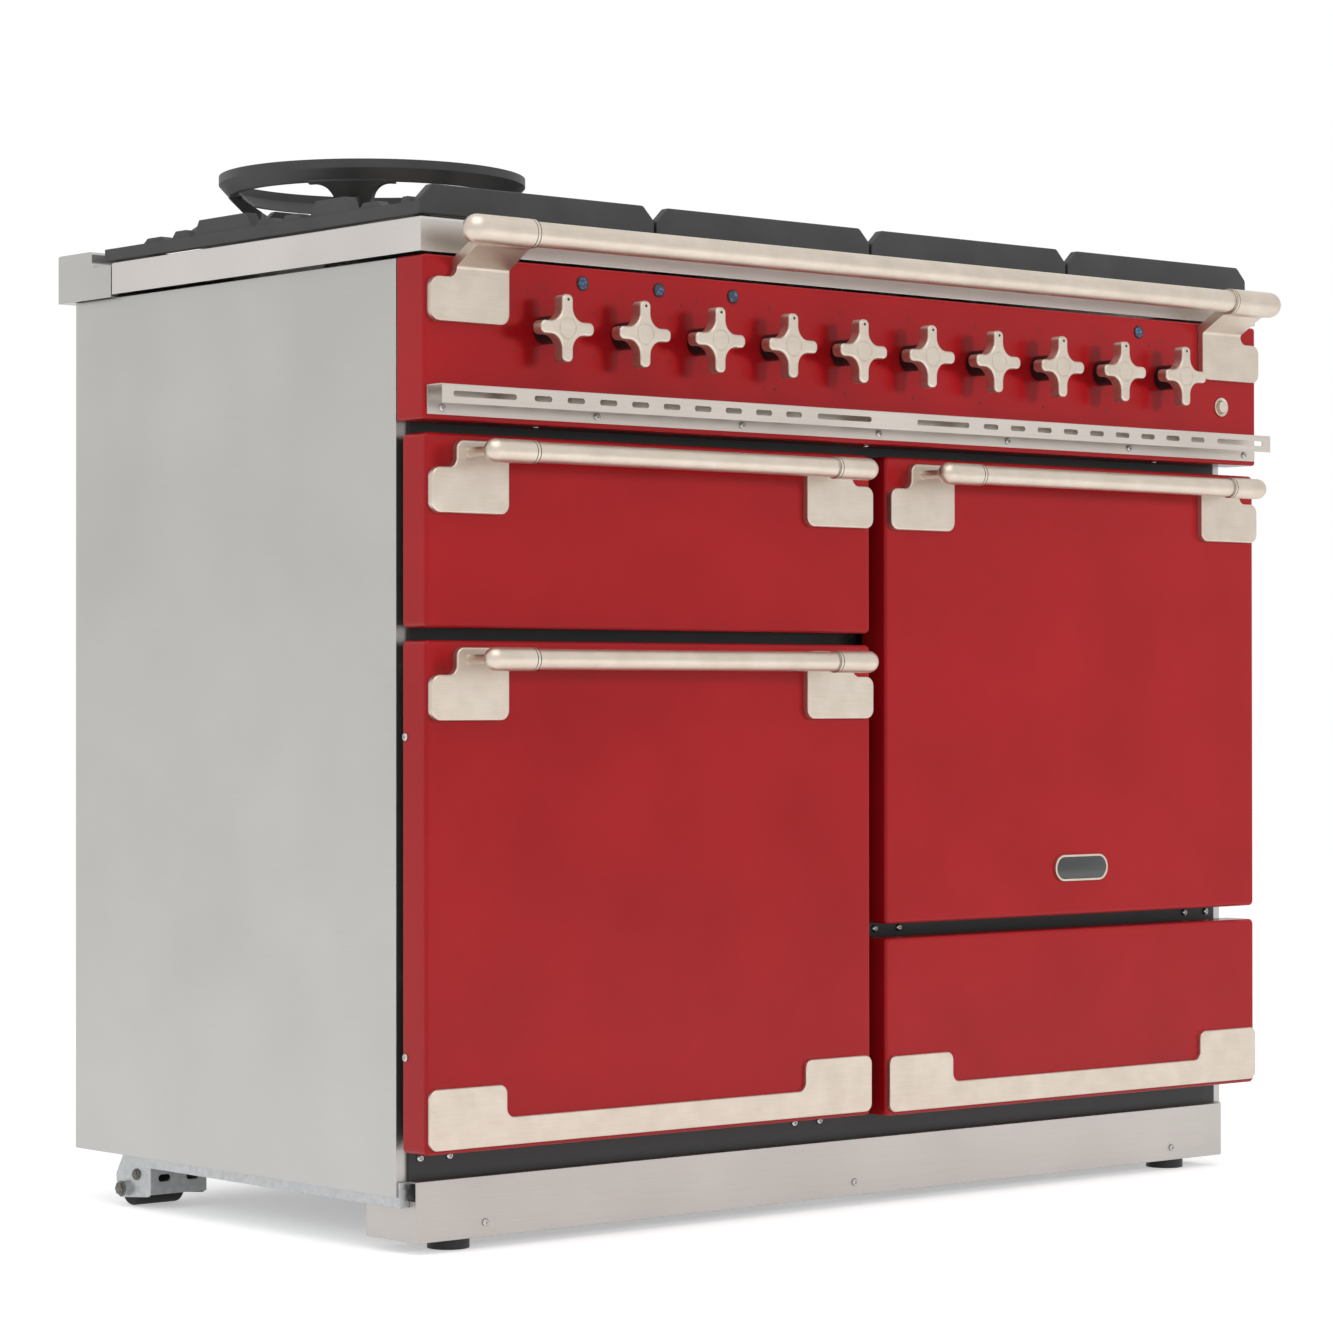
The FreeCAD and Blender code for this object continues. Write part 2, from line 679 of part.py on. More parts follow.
def oven_fan(centre, bottom):
    """Fan wheel with blades and its shaft."""
    middle = cavity_floor(bottom) + cavity_height / 2
    y0 = liner_back - 7 - fan_depth
    disc = Part.makeCylinder(fan_radius, 1.5, V(centre, y0 + fan_depth - 1.5, middle), Y_AXIS)
    hub = Part.makeCylinder(12, fan_depth, V(centre, y0, middle), Y_AXIS)
    shaft = Part.makeCylinder(shaft_radius, liner_back + motor_length - 10 - y0, V(centre, y0, middle),
                              Y_AXIS)
    blades = []
    for i in range(10):
        blade = block(24, fan_radius - 2, y0, y0 + fan_depth, -1, 1)
        blade.rotate(V(24, 0, 0), Y_AXIS, 28)
        blade.rotate(V(0, 0, 0), Y_AXIS, 36 * i)
        blade.translate(V(centre, 0, middle))
        blades.append(blade)
    rim_cut = Part.makeCylinder(fan_radius, 40, V(centre, y0 - 10, middle), Y_AXIS)
    return fuse([disc, hub, shaft] + [b.common(rim_cut) for b in blades])


def fan_motor(centre, bottom):
    """Motor behind the cavity, with the bore that the fan shaft runs in."""
    middle = cavity_floor(bottom) + cavity_height / 2
    back = liner_back + liner_wall
    can = Part.makeCylinder(motor_radius, motor_length, V(centre, back, middle), Y_AXIS)
    foot = block(centre - motor_radius - 14, centre + motor_radius + 14, back, back + 3, middle - 12,
                 middle + 12)
    bore = Part.makeCylinder(shaft_radius + pin_gap, motor_length - 6, V(centre, back - 1, middle),
                             Y_AXIS)
    return can.fuse(foot).cut(bore).removeSplitter()


def ladder_z(bottom, level):
    """Height of a shelf rail."""
    return cavity_floor(bottom) + ladder_gap + level * (cavity_height - 2 * ladder_gap) / (ladder_levels - 1)


def rack_ladder(centre, bottom, side):
    """Wire ladder on one side wall of an oven."""
    floor = cavity_floor(bottom)
    wall = centre + side * cavity_width / 2
    x_post = wall - side * 4
    x_rail = wall - side * 8
    y0 = liner_front + 14
    y1 = baffle_front - 8
    pieces = []
    for y in (y0 + 25, y1 - 25):
        pieces.append(bar(V(x_post, y, floor + 30), V(x_post, y, floor + cavity_height - 30), rack_rod))
        for z in (floor + 40, floor + cavity_height - 40):
            pieces.append(bar(V(x_post, y, z), V(wall, y, z), rack_rod))
    for level in range(ladder_levels):
        z = ladder_z(bottom, level)
        pieces.append(bar(V(x_rail, y0, z), V(x_rail, y1, z), 2.5))
    return fuse(pieces)


def oven_rack(centre, bottom, level):
    """Chromed wire shelf resting on two ladder rails."""
    z = ladder_z(bottom, level) + 2.5 + rack_rod + 0.1
    half = cavity_width / 2 - 11
    y0 = liner_front + 16
    y1 = baffle_front - 10
    pieces = [wire_loop(centre - half, centre + half, y0, y1, z, rack_rod, 12)]
    count = 13
    for i in range(count):
        x = centre - half + (i + 1) * 2 * half / (count + 1)
        pieces.append(bar(V(x, y0, z), V(x, y1, z), rack_bar))
    return fuse(pieces)


# ---- grill -------------------------------------------------------------------------------------
grill_floor_z = grill_bottom + grill_opening_rise
grill_rail_z = grill_floor_z + 24


def grill_chamber():
    """Enamelled grill box, open at the front."""
    half = grill_opening_width / 2
    top = grill_floor_z + grill_opening_height
    back = liner_front + grill_depth
    outer = block(left_centre - half - liner_wall, left_centre + half + liner_wall, liner_front,
                  back + liner_wall,
                  grill_floor_z - liner_wall, top + liner_wall)
    flange = block(left_centre - half - 8, left_centre + half + 8, liner_front, liner_front + liner_wall,
                   grill_floor_z - 8, top + 8)
    inner = block(left_centre - half, left_centre + half, liner_front - 1, back, grill_floor_z, top)
    holes = []
    for x in grill_leg_places():
        holes.append(Part.makeCylinder(element_rod + 0.5, 10, V(x, back - 5, top - 16), Y_AXIS))
    return outer.fuse(flange).cut([inner] + holes).removeSplitter()


element_step = (grill_opening_width / 2 - 65) / 5


def grill_leg_places():
    """X of the four grill element legs."""
    return [left_centre + side * offset for side in (-1, 1) for offset in (20, 20 + 5 * element_step)]


def grill_element(side):
    """Zigzag sheathed heater under one half of the grill roof."""
    z = grill_floor_z + grill_opening_height - 16
    front = liner_front + 60
    back = liner_front + grill_depth - 40
    rear = liner_front + grill_depth + 20
    runs = [left_centre + side * (20 + element_step * i) for i in range(6)]
    points = [V(runs[0], rear, z)]
    for i in range(1, 6):
        y = front if i % 2 else back
        points += [V(runs[i - 1], y, z), V(runs[i], y, z)]
    points.append(V(runs[5], rear, z))
    return bent_rod(points, element_rod, 12)


def runner_walls():
    """Inner faces of the grill chamber."""
    half = grill_opening_width / 2
    return [(left_centre - half, 1), (left_centre + half, -1)]


def grill_runner(wall, inward):
    """Fixed channel on a chamber wall; its open side faces inwards."""
    x0, x1 = sorted((wall, wall + inward * runner_width))
    channel = block(x0, x1, liner_front + 5, liner_front + grill_depth - 10,
                    grill_rail_z - runner_height / 2, grill_rail_z + runner_height / 2)
    a, b = sorted((wall + inward * 1.5, wall + inward * (runner_width + 1)))
    groove = carriage_rail / 2 + running_gap
    return channel.cut(block(a, b, liner_front, liner_front + grill_depth, grill_rail_z - groove,
                             grill_rail_z + groove))


def grill_carriage():
    """Slide-out frame: a plate inside the grill front, two rails and three cross bars."""
    inset = panel_wall
    plate = upright(rectangle(left_centre - half_front + inset, left_centre + half_front - inset,
                              grill_bottom + inset, grill_top - inset, front_radius - inset),
                    back_plate_y, front_depth)
    end = liner_front + grill_depth - 12
    parts = [plate]
    for wall, inward in runner_walls():
        x0, x1 = sorted((wall + inward * (1.5 + running_gap), wall + inward * (runner_width + 4)))
        parts.append(block(x0, x1, back_plate_y, end, grill_rail_z - carriage_rail / 2,
                           grill_rail_z + carriage_rail / 2))
    half = grill_opening_width / 2 - runner_width - 3
    for y in (liner_front + 40, liner_front + grill_depth / 2, liner_front + grill_depth - 40):
        parts.append(block(left_centre - half, left_centre + half, y, y + 8,
                           grill_rail_z - carriage_rail / 2, grill_rail_z - 1))
    return fuse(parts)


def grill_pan():
    """Enamelled pan on the carriage, with its wire grid as a second solid."""
    half = grill_opening_width / 2 - runner_width - 12
    z0 = grill_rail_z - 1
    y0 = liner_front + 20
    y1 = liner_front + grill_depth - 20
    outer = block(left_centre - half, left_centre + half, y0, y1, z0, z0 + 38)
    outer = outer.makeFillet(10, [e for e in outer.Edges if e.BoundBox.ZLength > 30])
    inner = block(left_centre - half + sheet, left_centre + half - sheet, y0 + sheet, y1 - sheet,
                  z0 + sheet, z0 + 40)
    inner = inner.makeFillet(8.5, [e for e in inner.Edges if e.BoundBox.ZLength > 30])
    z = z0 + 30
    edge_x = half - 8
    wires = [wire_loop(left_centre - edge_x, left_centre + edge_x, y0 + 8, y1 - 8, z, 2.5, 10)]
    for i in range(12):
        x = left_centre - edge_x + (i + 1) * 2 * edge_x / 13
        wires.append(bar(V(x, y0 + 8, z), V(x, y1 - 8, z), 2.0))
    for x in (left_centre - grid_leg_x, left_centre + grid_leg_x):
        for y in (y0 + 60, y1 - 60):
            wires.append(bar(V(x, y, z0 + sheet), V(x, y, z), 1.5))
        wires.append(bar(V(x, y0 + 8, z), V(x, y1 - 8, z), 2.0))
    return [outer.cut(inner), fuse(wires)]


# ---- storage drawer ----------------------------------------------------------------------------
drawer_floor_z = drawer_bottom + drawer_rise + 12
drawer_rail_z = drawer_floor_z + 50


def drawer_walls():
    """Planes that the drawer runners stand on, either side of the drawer."""
    half = drawer_opening_width / 2
    return [(right_centre - half, 1), (right_centre + half, -1)]


def drawer_runner(wall, inward):
    """Fixed channel on a plate that stands on the base frame."""
    x0, x1 = sorted((wall, wall + inward * runner_width))
    y0 = frame_face + frame_plate
    y1 = y0 + drawer_box_depth + 10
    channel = block(x0, x1, y0, y1, drawer_rail_z - runner_height / 2, drawer_rail_z + runner_height / 2)
    a, b = sorted((wall + inward * 1.5, wall + inward * (runner_width + 1)))
    groove = carriage_rail / 2 + running_gap
    channel = channel.cut(block(a, b, y0 - 1, y1 + 1, drawer_rail_z - groove, drawer_rail_z + groove))
    a, b = sorted((wall, wall - inward * 2))
    plate = block(a, b, y0, y1, frame_bottom, drawer_rail_z + runner_height / 2)
    return channel.fuse(plate).removeSplitter()


def drawer_box():
    """Open-topped box with a front plate and two side rails."""
    half = drawer_box_width / 2
    y0 = back_plate_y
    y1 = frame_face + frame_plate + drawer_box_depth
    z0 = drawer_floor_z
    inset = panel_wall
    plate = upright(rectangle(right_centre - half_front + inset, right_centre + half_front - inset,
                              drawer_bottom + inset, drawer_bottom + drawer_height - inset,
                              front_radius - inset), y0, front_depth)
    outer = block(right_centre - half, right_centre + half, y0, y1, z0, z0 + drawer_box_height)
    inner = block(right_centre - half + sheet, right_centre + half - sheet, front_depth, y1 - sheet,
                  z0 + sheet, z0 + drawer_box_height + 1)
    rails = []
    for wall, inward in drawer_walls():
        a, b = sorted((wall + inward * (1.5 + running_gap), right_centre - inward * half))
        rails.append(block(a, b, y0, y1, drawer_rail_z - carriage_rail / 2,
                           drawer_rail_z + carriage_rail / 2))
    return fuse([plate, outer] + rails).cut(inner).removeSplitter()


# ---- pressed fronts ----------------------------------------------------------------------------
def front_panel(centre, z0, height):
    """Pressed steel tray with rounded front edges, open at the back."""
    outer = upright(rectangle(centre - half_front, centre + half_front, z0, z0 + height, front_radius),
                    0, front_depth)
    outer = outer.makeFillet(panel_edge, [e for e in outer.Edges if e.BoundBox.YMax < 0.01])
    w = panel_wall
    inner = upright(rectangle(centre - half_front + w, centre + half_front - w, z0 + w, z0 + height - w,
                              front_radius - w),
                    w, front_depth + 1)
    return outer.cut(inner)


def hinge_cuts(centre, z0):
    """Slots in a door for the two fixed hinge blades."""
    cuts = []
    for side in (-1, 1):
        x = centre + side * hinge_offset
        cuts.append(block(x - hinge_slot / 2, x + hinge_slot / 2, 9, front_depth + 1, z0 - 1, z0 + 3))
        cuts.append(block(x - hinge_slot / 2, x + hinge_slot / 2, back_plate_y - 1, front_depth + 1,
                          z0 - 1, z0 + hinge_slot_rise))
    return cuts


def door_panel(centre, z0):
    """Door front with its hinge slots."""
    return front_panel(centre, z0, door_height).cut(hinge_cuts(centre, z0))


def door_liner(centre, z0):
    """Inner door: back plate with an embossed frame, hinge ears and hinge pins."""
    w = panel_wall
    plate = upright(rectangle(centre - half_front + w, centre + half_front - w, z0 + w,
                              z0 + door_height - w, front_radius - w),
                    back_plate_y, front_depth)
    half = half_front - 30
    outer = block(centre - half, centre + half, 10, back_plate_y, z0 + 40, z0 + door_height - 30)
    inner = block(centre - half + 1.5, centre + half - 1.5, 9, back_plate_y, z0 + 41.5,
                  z0 + door_height - 31.5)
    parts = [plate.cut(hinge_cuts(centre, z0)), outer.cut(inner)]
    for side in (-1, 1):
        x = centre + side * hinge_offset
        for s in (-1, 1):
            near = hinge_blade / 2 + 0.5
            a, b = sorted((x + s * near, x + s * (near + 3)))
            parts.append(block(a, b, 14, 28, z0 + 3, z0 + 36))
            parts.append(block(a, b, 28, back_plate_y, z0 + hinge_slot_rise + 2, z0 + 36))
        parts.append(Part.makeCylinder(hinge_pin_radius, hinge_blade + 5,
                                       V(x - hinge_blade / 2 - 2.5, hinge_y, z0 + hinge_rise), X_AXIS))
    return fuse(parts)


def handle_bracket(centre, top, side):
    """Handle plate on one end of a front, with a post to the bar.  side is -1 for the left one."""
    out = half_front - bracket_inset
    wide = bracket_width
    neck = 27.0
    low = top - 70
    step = top - 30
    high = top - 6
    corners = [(out, low, 9), (out, step, 9), (out - neck, step, 8), (out - neck, high, 8),
               (out - wide, high, 8), (out - wide, low, 9)]
    plate = upright([(centre + side * a, z, r) for a, z, r in corners], -bracket_thickness, 0)
    face = [e for e in plate.Edges if e.BoundBox.YMax < -bracket_thickness + 0.01]
    plate = plate.makeFillet(1.5, face)
    x = centre + side * (out - post_inset)
    post = Part.makeCylinder(post_radius, bracket_thickness + handle_y * -1 - 7,
                             V(x, handle_y + 3, top - handle_drop), Y_AXIS)
    return plate.fuse(post.common(block(x - 20, x + 20, handle_y, -1, top - 40, top))).removeSplitter()


def turned_rail(middle, y, z, half, joint, radius, end_radius):
    """Round rail along X: a plain bar and two bullet-ended caps."""
    tube = Part.makeCylinder(radius, 2 * joint - 0.6, V(middle - joint + 0.3, y, z), X_AXIS)
    caps = []
    for side in (-1, 1):
        reach = half - joint
        cap = Part.makeCylinder(end_radius, reach - end_radius).fuse(Part.makeSphere(end_radius,
                                                                                     V(0, 0,
                                                                                       reach - end_radius)))
        cap = cap.removeSplitter()
        cap.rotate(V(0, 0, 0), Y_AXIS, side * 90)
        cap.translate(V(middle + side * joint, y, z))
        caps.append(cap)
    return [tube] + caps


def handle(centre, top):
    """Handle of one front: bar, two ends and two brackets."""
    x_post = half_front - bracket_inset - post_inset
    rail = turned_rail(centre, handle_y, top - handle_drop, handle_half, handle_joint,
                       handle_bar_radius, handle_end_radius)
    posts = [Part.makeCylinder(post_radius, 40,
                               V(centre + side * x_post, handle_y + 3, top - handle_drop), Y_AXIS)
             for side in (-1, 1)]
    return rail[:1] + [cap.cut(posts) for cap in rail[1:]] + [handle_bracket(centre, top, side)
                                                              for side in (-1, 1)]


def bottom_trim(centre, z0):
    """Thin trim along the lower edge of a front, with a taller block at each end."""
    half = trim_width / 2
    low = z0 + trim_rise
    strip = low + trim_strip - 0.5
    high = low + trim_block
    inner = half - trim_block_width
    corners = [(-half, low, 8), (half, low, 8), (half, high, 8), (inner, high, 8), (inner, strip, 8),
               (-inner, strip, 8), (-inner, high, 8), (-half, high, 8)]
    plate = upright([(centre + a, z, r) for a, z, r in corners], -trim_thickness, 0)
    return plate.makeFillet(1.2, [e for e in plate.Edges if e.BoundBox.YMax < -trim_thickness + 0.01])


def badge_plate():
    """Bare rounded badge on the right door, with a raised rim."""
    x0 = right_centre + 3 - badge_width / 2
    x1 = right_centre + 3 + badge_width / 2
    r = badge_height / 2 - 0.05
    outer = upright(rectangle(x0, x1, badge_z - badge_height / 2, badge_z + badge_height / 2, r), -3, 0)
    inner = upright(rectangle(x0 + 2, x1 - 2, badge_z - badge_height / 2 + 2,
                              badge_z + badge_height / 2 - 2, r - 2), -4, -2)
    return outer.cut(inner)


# ---- control fascia ----------------------------------------------------------------------------
knob_places = [knob_first + knob_pitch * i for i in range(knob_count)]
tap_places = knob_places[3:9]
switch_places = knob_places[:3] + knob_places[9:]
lamp_places = [knob_places[i] + 44 for i in (0, 1, 2)] + [knob_places[9] - 35]


def control_fascia():
    """Pressed fascia with holes for spindles, lamps, the ignition button and the guard screws."""
    half = fascia_width / 2
    outer = upright(rectangle(-half, half, fascia_bottom, fascia_top, 3), 0, fascia_depth)
    outer = outer.makeFillet(2.5, [e for e in outer.Edges if e.BoundBox.YMax < 0.01])
    w = panel_wall
    inner = upright(rectangle(-half + w, half - w, fascia_bottom + w, fascia_top - w, 1.8), w,
                    fascia_depth + 1)
    tab = block(-half + 60, half - 60, fascia_depth - 20, frame_face, fascia_bottom, fascia_bottom + w)
    holes = [Part.makeCylinder(spindle_hole, 6, V(x, -2, knob_z), Y_AXIS) for x in knob_places]
    holes += [Part.makeCylinder(lamp_radius, 6, V(x, -2, lamp_z), Y_AXIS) for x in lamp_places]
    holes.append(Part.makeCylinder(button_radius + 1.2, 6, V(button_x, -2, button_z), Y_AXIS))
    holes += screw_holes(shield_screws, -2, w + 1)
    holes += [Part.makeCylinder(screw_hole, w + 2, V(x, y, fascia_bottom - 1), Z_AXIS) for x, y in fascia_screws]
    return outer.cut(inner).fuse(tab).cut(holes).removeSplitter()


def slotted_guard():
    """Heat guard under the knobs: a back plate, a top shelf and a slotted lip that hangs down."""
    half = shield_width / 2
    t = 1.0
    back = block(-half, half, -t, 0, shield_bottom, shield_top)
    shelf = block(-half, half, -shield_reach, 0, shield_top - t, shield_top)
    lip = block(-half, half, -shield_reach, -shield_reach + t, shield_top - shield_lip, shield_top)
    guard = fuse([back, shelf, lip])
    corner = [e for e in guard.Edges if e.BoundBox.YMax < -shield_reach
              + 0.01 and e.BoundBox.ZMin > shield_top - 0.01]
    guard = guard.makeFillet(0.9, corner)
    slots = []
    z0 = shield_top - shield_lip / 2 - slot_height / 2
    inner_end = slot_start + slot_long
    outer_start = half - slot_end - slot_long
    count = int((outer_start - inner_end) / slot_pitch)
    first = (inner_end + outer_start - (count - 1) * slot_pitch - slot_short) / 2
    spans = [(slot_start, inner_end), (outer_start, half - slot_end)]
    spans += [(first + slot_pitch * i, first + slot_pitch * i + slot_short) for i in range(count)]
    for a, b in spans:
        for x0, x1 in ((a, b), (-b, -a)):
            slots.append(upright(rectangle(x0, x1, z0, z0 + slot_height, slot_height / 2 - 0.05),
                                 -shield_reach - 1, -shield_reach + 3))
    return guard.cut(slots + screw_holes(shield_screws, -3, 1))


def lamp(x):
    """Domed indicator lens pushed into the fascia."""
    lens = Part.makeCylinder(lamp_radius, 9, V(x, -1.5, lamp_z), Y_AXIS)
    return lens.makeFillet(1.0, [e for e in lens.Edges if e.BoundBox.YMax < -1.4])


def ignition_bezel():
    """Bezel ring with the guide tube of the ignition button behind the fascia."""
    ring = Part.makeCylinder(bezel_radius, 2, V(button_x, -2, button_z), Y_AXIS)
    ring = ring.makeFillet(1.2, [e for e in ring.Edges if e.BoundBox.YMax < -1.9])
    tube = Part.makeCylinder(button_radius + 1.2, 24, V(button_x, -2, button_z), Y_AXIS)
    bore = Part.makeCylinder(button_radius + pin_gap, 22, V(button_x, -3, button_z), Y_AXIS)
    dish = Part.makeCone(bezel_radius - 1.0, button_radius, 1.4, V(button_x, -2, button_z), Y_AXIS)
    return ring.fuse(tube).cut([bore, dish]).removeSplitter()


def ignition_button():
    """Push button in the guide tube."""
    button = Part.makeCylinder(button_radius, 16, V(button_x, -4.5, button_z), Y_AXIS)
    return button.makeFillet(1.0, [e for e in button.Edges if e.BoundBox.YMax < -4.4])


def knob(x):
    """Four-armed control knob on a round neck, with the bore for its spindle."""
    half = knob_arm / 2
    tip = knob_reach
    corners = []
    for turn in range(4):
        a = math.radians(90 * turn)
        for u, v, r in ((tip, -half, half * 0.85), (tip, half, half * 0.85), (half, half, knob_blend)):
            corners.append((x + u * math.cos(a) - v * math.sin(a),
                            knob_z + u * math.sin(a) + v * math.cos(a), r))
    cross = upright(corners, knob_face, knob_back)
    cross = cross.makeFillet(knob_edge, [e for e in cross.Edges if e.BoundBox.YMax < knob_face + 0.01])
    neck = Part.makeCylinder(neck_radius, neck_back - knob_back + 1, V(x, knob_back - 1, knob_z), Y_AXIS)
    ring = Part.makeCylinder(10, 1.0, V(x, knob_face - 0.5, knob_z), Y_AXIS)
    ring = ring.cut(Part.makeCylinder(8.6, 3, V(x, knob_face - 1, knob_z), Y_AXIS))
    bore = Part.makeCylinder(stem_radius + pin_gap, 40, V(x, stem_front - 1, knob_z), Y_AXIS)
    return cross.fuse(neck).cut([ring, bore]).removeSplitter()


def tap_body(x):
    """Gas tap behind the fascia, with the spindle that carries a knob."""
    body = block(x - 12, x + 12, 5, 38, knob_z - 14, knob_z + 16)
    collar = Part.makeCylinder(spindle_hole - 1, 8, V(x, -0.5, knob_z), Y_AXIS)
    stem = Part.makeCylinder(stem_radius, 8 - stem_front, V(x, stem_front, knob_z), Y_AXIS)
    seat = block(x - 9, x + 9, gas_y - 9, gas_y + 9, gas_z, knob_z - 13)
    pipe_clear = Part.makeCylinder(gas_pipe, 40, V(x - 20, gas_y, gas_z), X_AXIS)
    outlet = Part.makeCylinder(4, 20, V(x, 30, knob_z + 10), Z_AXIS)
    return fuse([body, collar, stem, seat, outlet]).cut(pipe_clear).removeSplitter()


def switch_body(x):
    """Rotary switch or thermostat behind the fascia, with its spindle."""
    body = block(x - 20, x + 20, 5, 34, knob_z - 20, knob_z + 20)
    body = body.makeFillet(4, [e for e in body.Edges if e.BoundBox.YLength > 20])
    stem = Part.makeCylinder(stem_radius, 8 - stem_front, V(x, stem_front, knob_z), Y_AXIS)
    bracket = block(x - 20, x + 20, 34, frame_face, knob_z - 20, knob_z - 18)
    back = block(x - 8, x + 8, 33, frame_face, knob_z - 20, knob_z + 8)
    return fuse([body, stem, bracket, back])


def gas_rail():
    """Gas rail behind the taps, turned to the back and ending in the threaded inlet."""
    end = tap_places[-1] + 20
    pipe = bent_rod([V(end, gas_y, gas_z), V(gas_x, gas_y, gas_z), V(gas_x, body_back + 10, gas_z)],
                    gas_pipe, 16)
    stub = Part.makeCylinder(inlet_radius, vent_back - 1 - body_back, V(gas_x, body_back, gas_z), Y_AXIS)
    collar = Part.makeCylinder(inlet_radius + 5, 4, V(gas_x, body_back - 2 * sheet - 4, gas_z), Y_AXIS)
    bore = Part.makeCylinder(inlet_bore, 40, V(gas_x, body_back - 15, gas_z), Y_AXIS)
    return fuse([pipe, stub, collar]).cut(bore).removeSplitter()


# ---- hob ---------------------------------------------------------------------------------------
burner_places = [(wok_shift - 1.5 * support_pitch, burner_middle, large_burner)]
burner_places += [(side * support_pitch / 2, burner_middle + row * burner_spread, small_burner)
                  for side in (-1, 1) for row in (-1, 1)]
burner_places.append((1.5 * support_pitch, burner_middle, large_burner))


def hob_plate():
    """Stainless hob: folded trim round a sunken well, with a hole for each burner."""
    half = hob_width / 2
    rim = hob_rim
    t = sheet
    outer = block(-half, half, hob_front, hob_back, hob_bottom, hob_top)
    top = [e for e in outer.Edges if e.BoundBox.ZMin > hob_top - 0.01]
    outer = outer.makeFillet(2.5, top)
    under = block(-half + t, half - t, hob_front + t, hob_back - t, hob_bottom - 1, hob_top - t)
    well = block(-half + rim - t, half - rim + t, hob_front + rim - t, hob_back - rim + t,
                 hob_floor - t, hob_top - t)
    dish = block(-half + rim, half - rim, hob_front + rim, hob_back - rim, hob_floor, hob_top + 1)
    holes = [Part.makeCylinder(r - 6, 20, V(x, y, hob_floor - 10), Z_AXIS) for x, y, r in burner_places]
    return outer.cut(under).fuse(well).cut([dish] + holes).removeSplitter()


def burner_base(x, y, radius):
    """Burner cup and flame spreader with ports round its edge."""
    cup = Part.makeCylinder(radius - 6.5, 26, V(x, y, hob_floor - 24), Z_AXIS)
    flange = Part.makeCylinder(radius + 3, 3, V(x, y, hob_floor), Z_AXIS)
    spreader = Part.makeCylinder(radius, 11, V(x, y, hob_floor + 3), Z_AXIS)
    ports = []
    count = 24
    for i in range(count):
        port = block(radius - 3, radius + 2, -1.2, 1.2, hob_floor + 8, hob_floor + 15)
        port.rotate(V(0, 0, 0), Z_AXIS, 360 * i / count)
        port.translate(V(x, y, 0))
        ports.append(port)
    hollow = Part.makeCylinder(radius - 10, 40, V(x, y, hob_floor - 22), Z_AXIS)
    return fuse([cup, flange, spreader]).cut(ports + [hollow]).removeSplitter()


def burner_cap(x, y, radius):
    """Enamelled cap on the flame spreader."""
    cap = Part.makeCylinder(radius + 1, 7, V(x, y, hob_floor + 14), Z_AXIS)
    cap = cap.makeFillet(3, [e for e in cap.Edges if e.BoundBox.ZMin > hob_floor + 20])
    plug = Part.makeCylinder(radius - 10.5, 6, V(x, y, hob_floor + 9), Z_AXIS)
    return cap.fuse(plug).removeSplitter()


def rear_vent():
    """Raised vent along the back of the hob, with a coved step and outlet slots."""
    half = hob_width / 2
    z0 = panel_head
    outline = [(vent_front, z0, 0), (vent_back, z0, 0), (vent_back, vent_high_top, 3),
               (vent_step_y, vent_high_top, 3),
               (vent_step_y, vent_low_top, 6), (vent_front, vent_low_top, 2)]
    outer = sideways(outline, -half, half)
    t = sheet
    inline = [(vent_front + t, z0 - 1, 0), (vent_back - t, z0 - 1, 0),
              (vent_back - t, vent_high_top - t, 1.5),
              (vent_step_y + t, vent_high_top - t, 1.5), (vent_step_y + t, vent_low_top - t, 7.5),
              (vent_front + t, vent_low_top - t, 0.5)]
    inner = sideways(inline, -half + t, half - t)
    slots = []
    for i in range(24):
        x = -half + 34 + i * (hob_width - 68) / 23
        slots.append(block(x - 15, x + 15, vent_step_y + 16, vent_back - 16, vent_high_top - 5,
                           vent_high_top + 1))
    foot = block(-half, half, body_back - 3 * sheet, vent_back, z0, z0 + t)
    return outer.cut([inner] + slots).fuse(foot).removeSplitter()


# ---- pan supports and wok ring -----------------------------------------------------------------
def support_rib(x, y, angle, start):
    """Cast finger that points at a burner, cut to length by the frame."""
    rib = block(start, support_back - support_front, -3.5, 3.5, support_foot + 3, support_top)
    tip = Part.makeCylinder(3.5, support_top - support_foot - 3, V(start, 0, support_foot + 3), Z_AXIS)
    rib = rib.fuse(tip)
    rib.rotate(V(0, 0, 0), Z_AXIS, angle)
    rib.translate(V(x, y, 0))
    return rib


# Raised nibs on the side bars: back end, front end (shares of the depth) and height.
nib_marks = [(0.876, 0.79, 4.5), (0.779, 0.708, 7.0), (0.703, 0.51, 14.0), (0.505, 0.43, 5.5),
             (0.425, 0.347, 5.5), (0.333, 0.204, 14.0), (0.188, 0.11, 5.5), (0.062, 0.03, 5.5)]


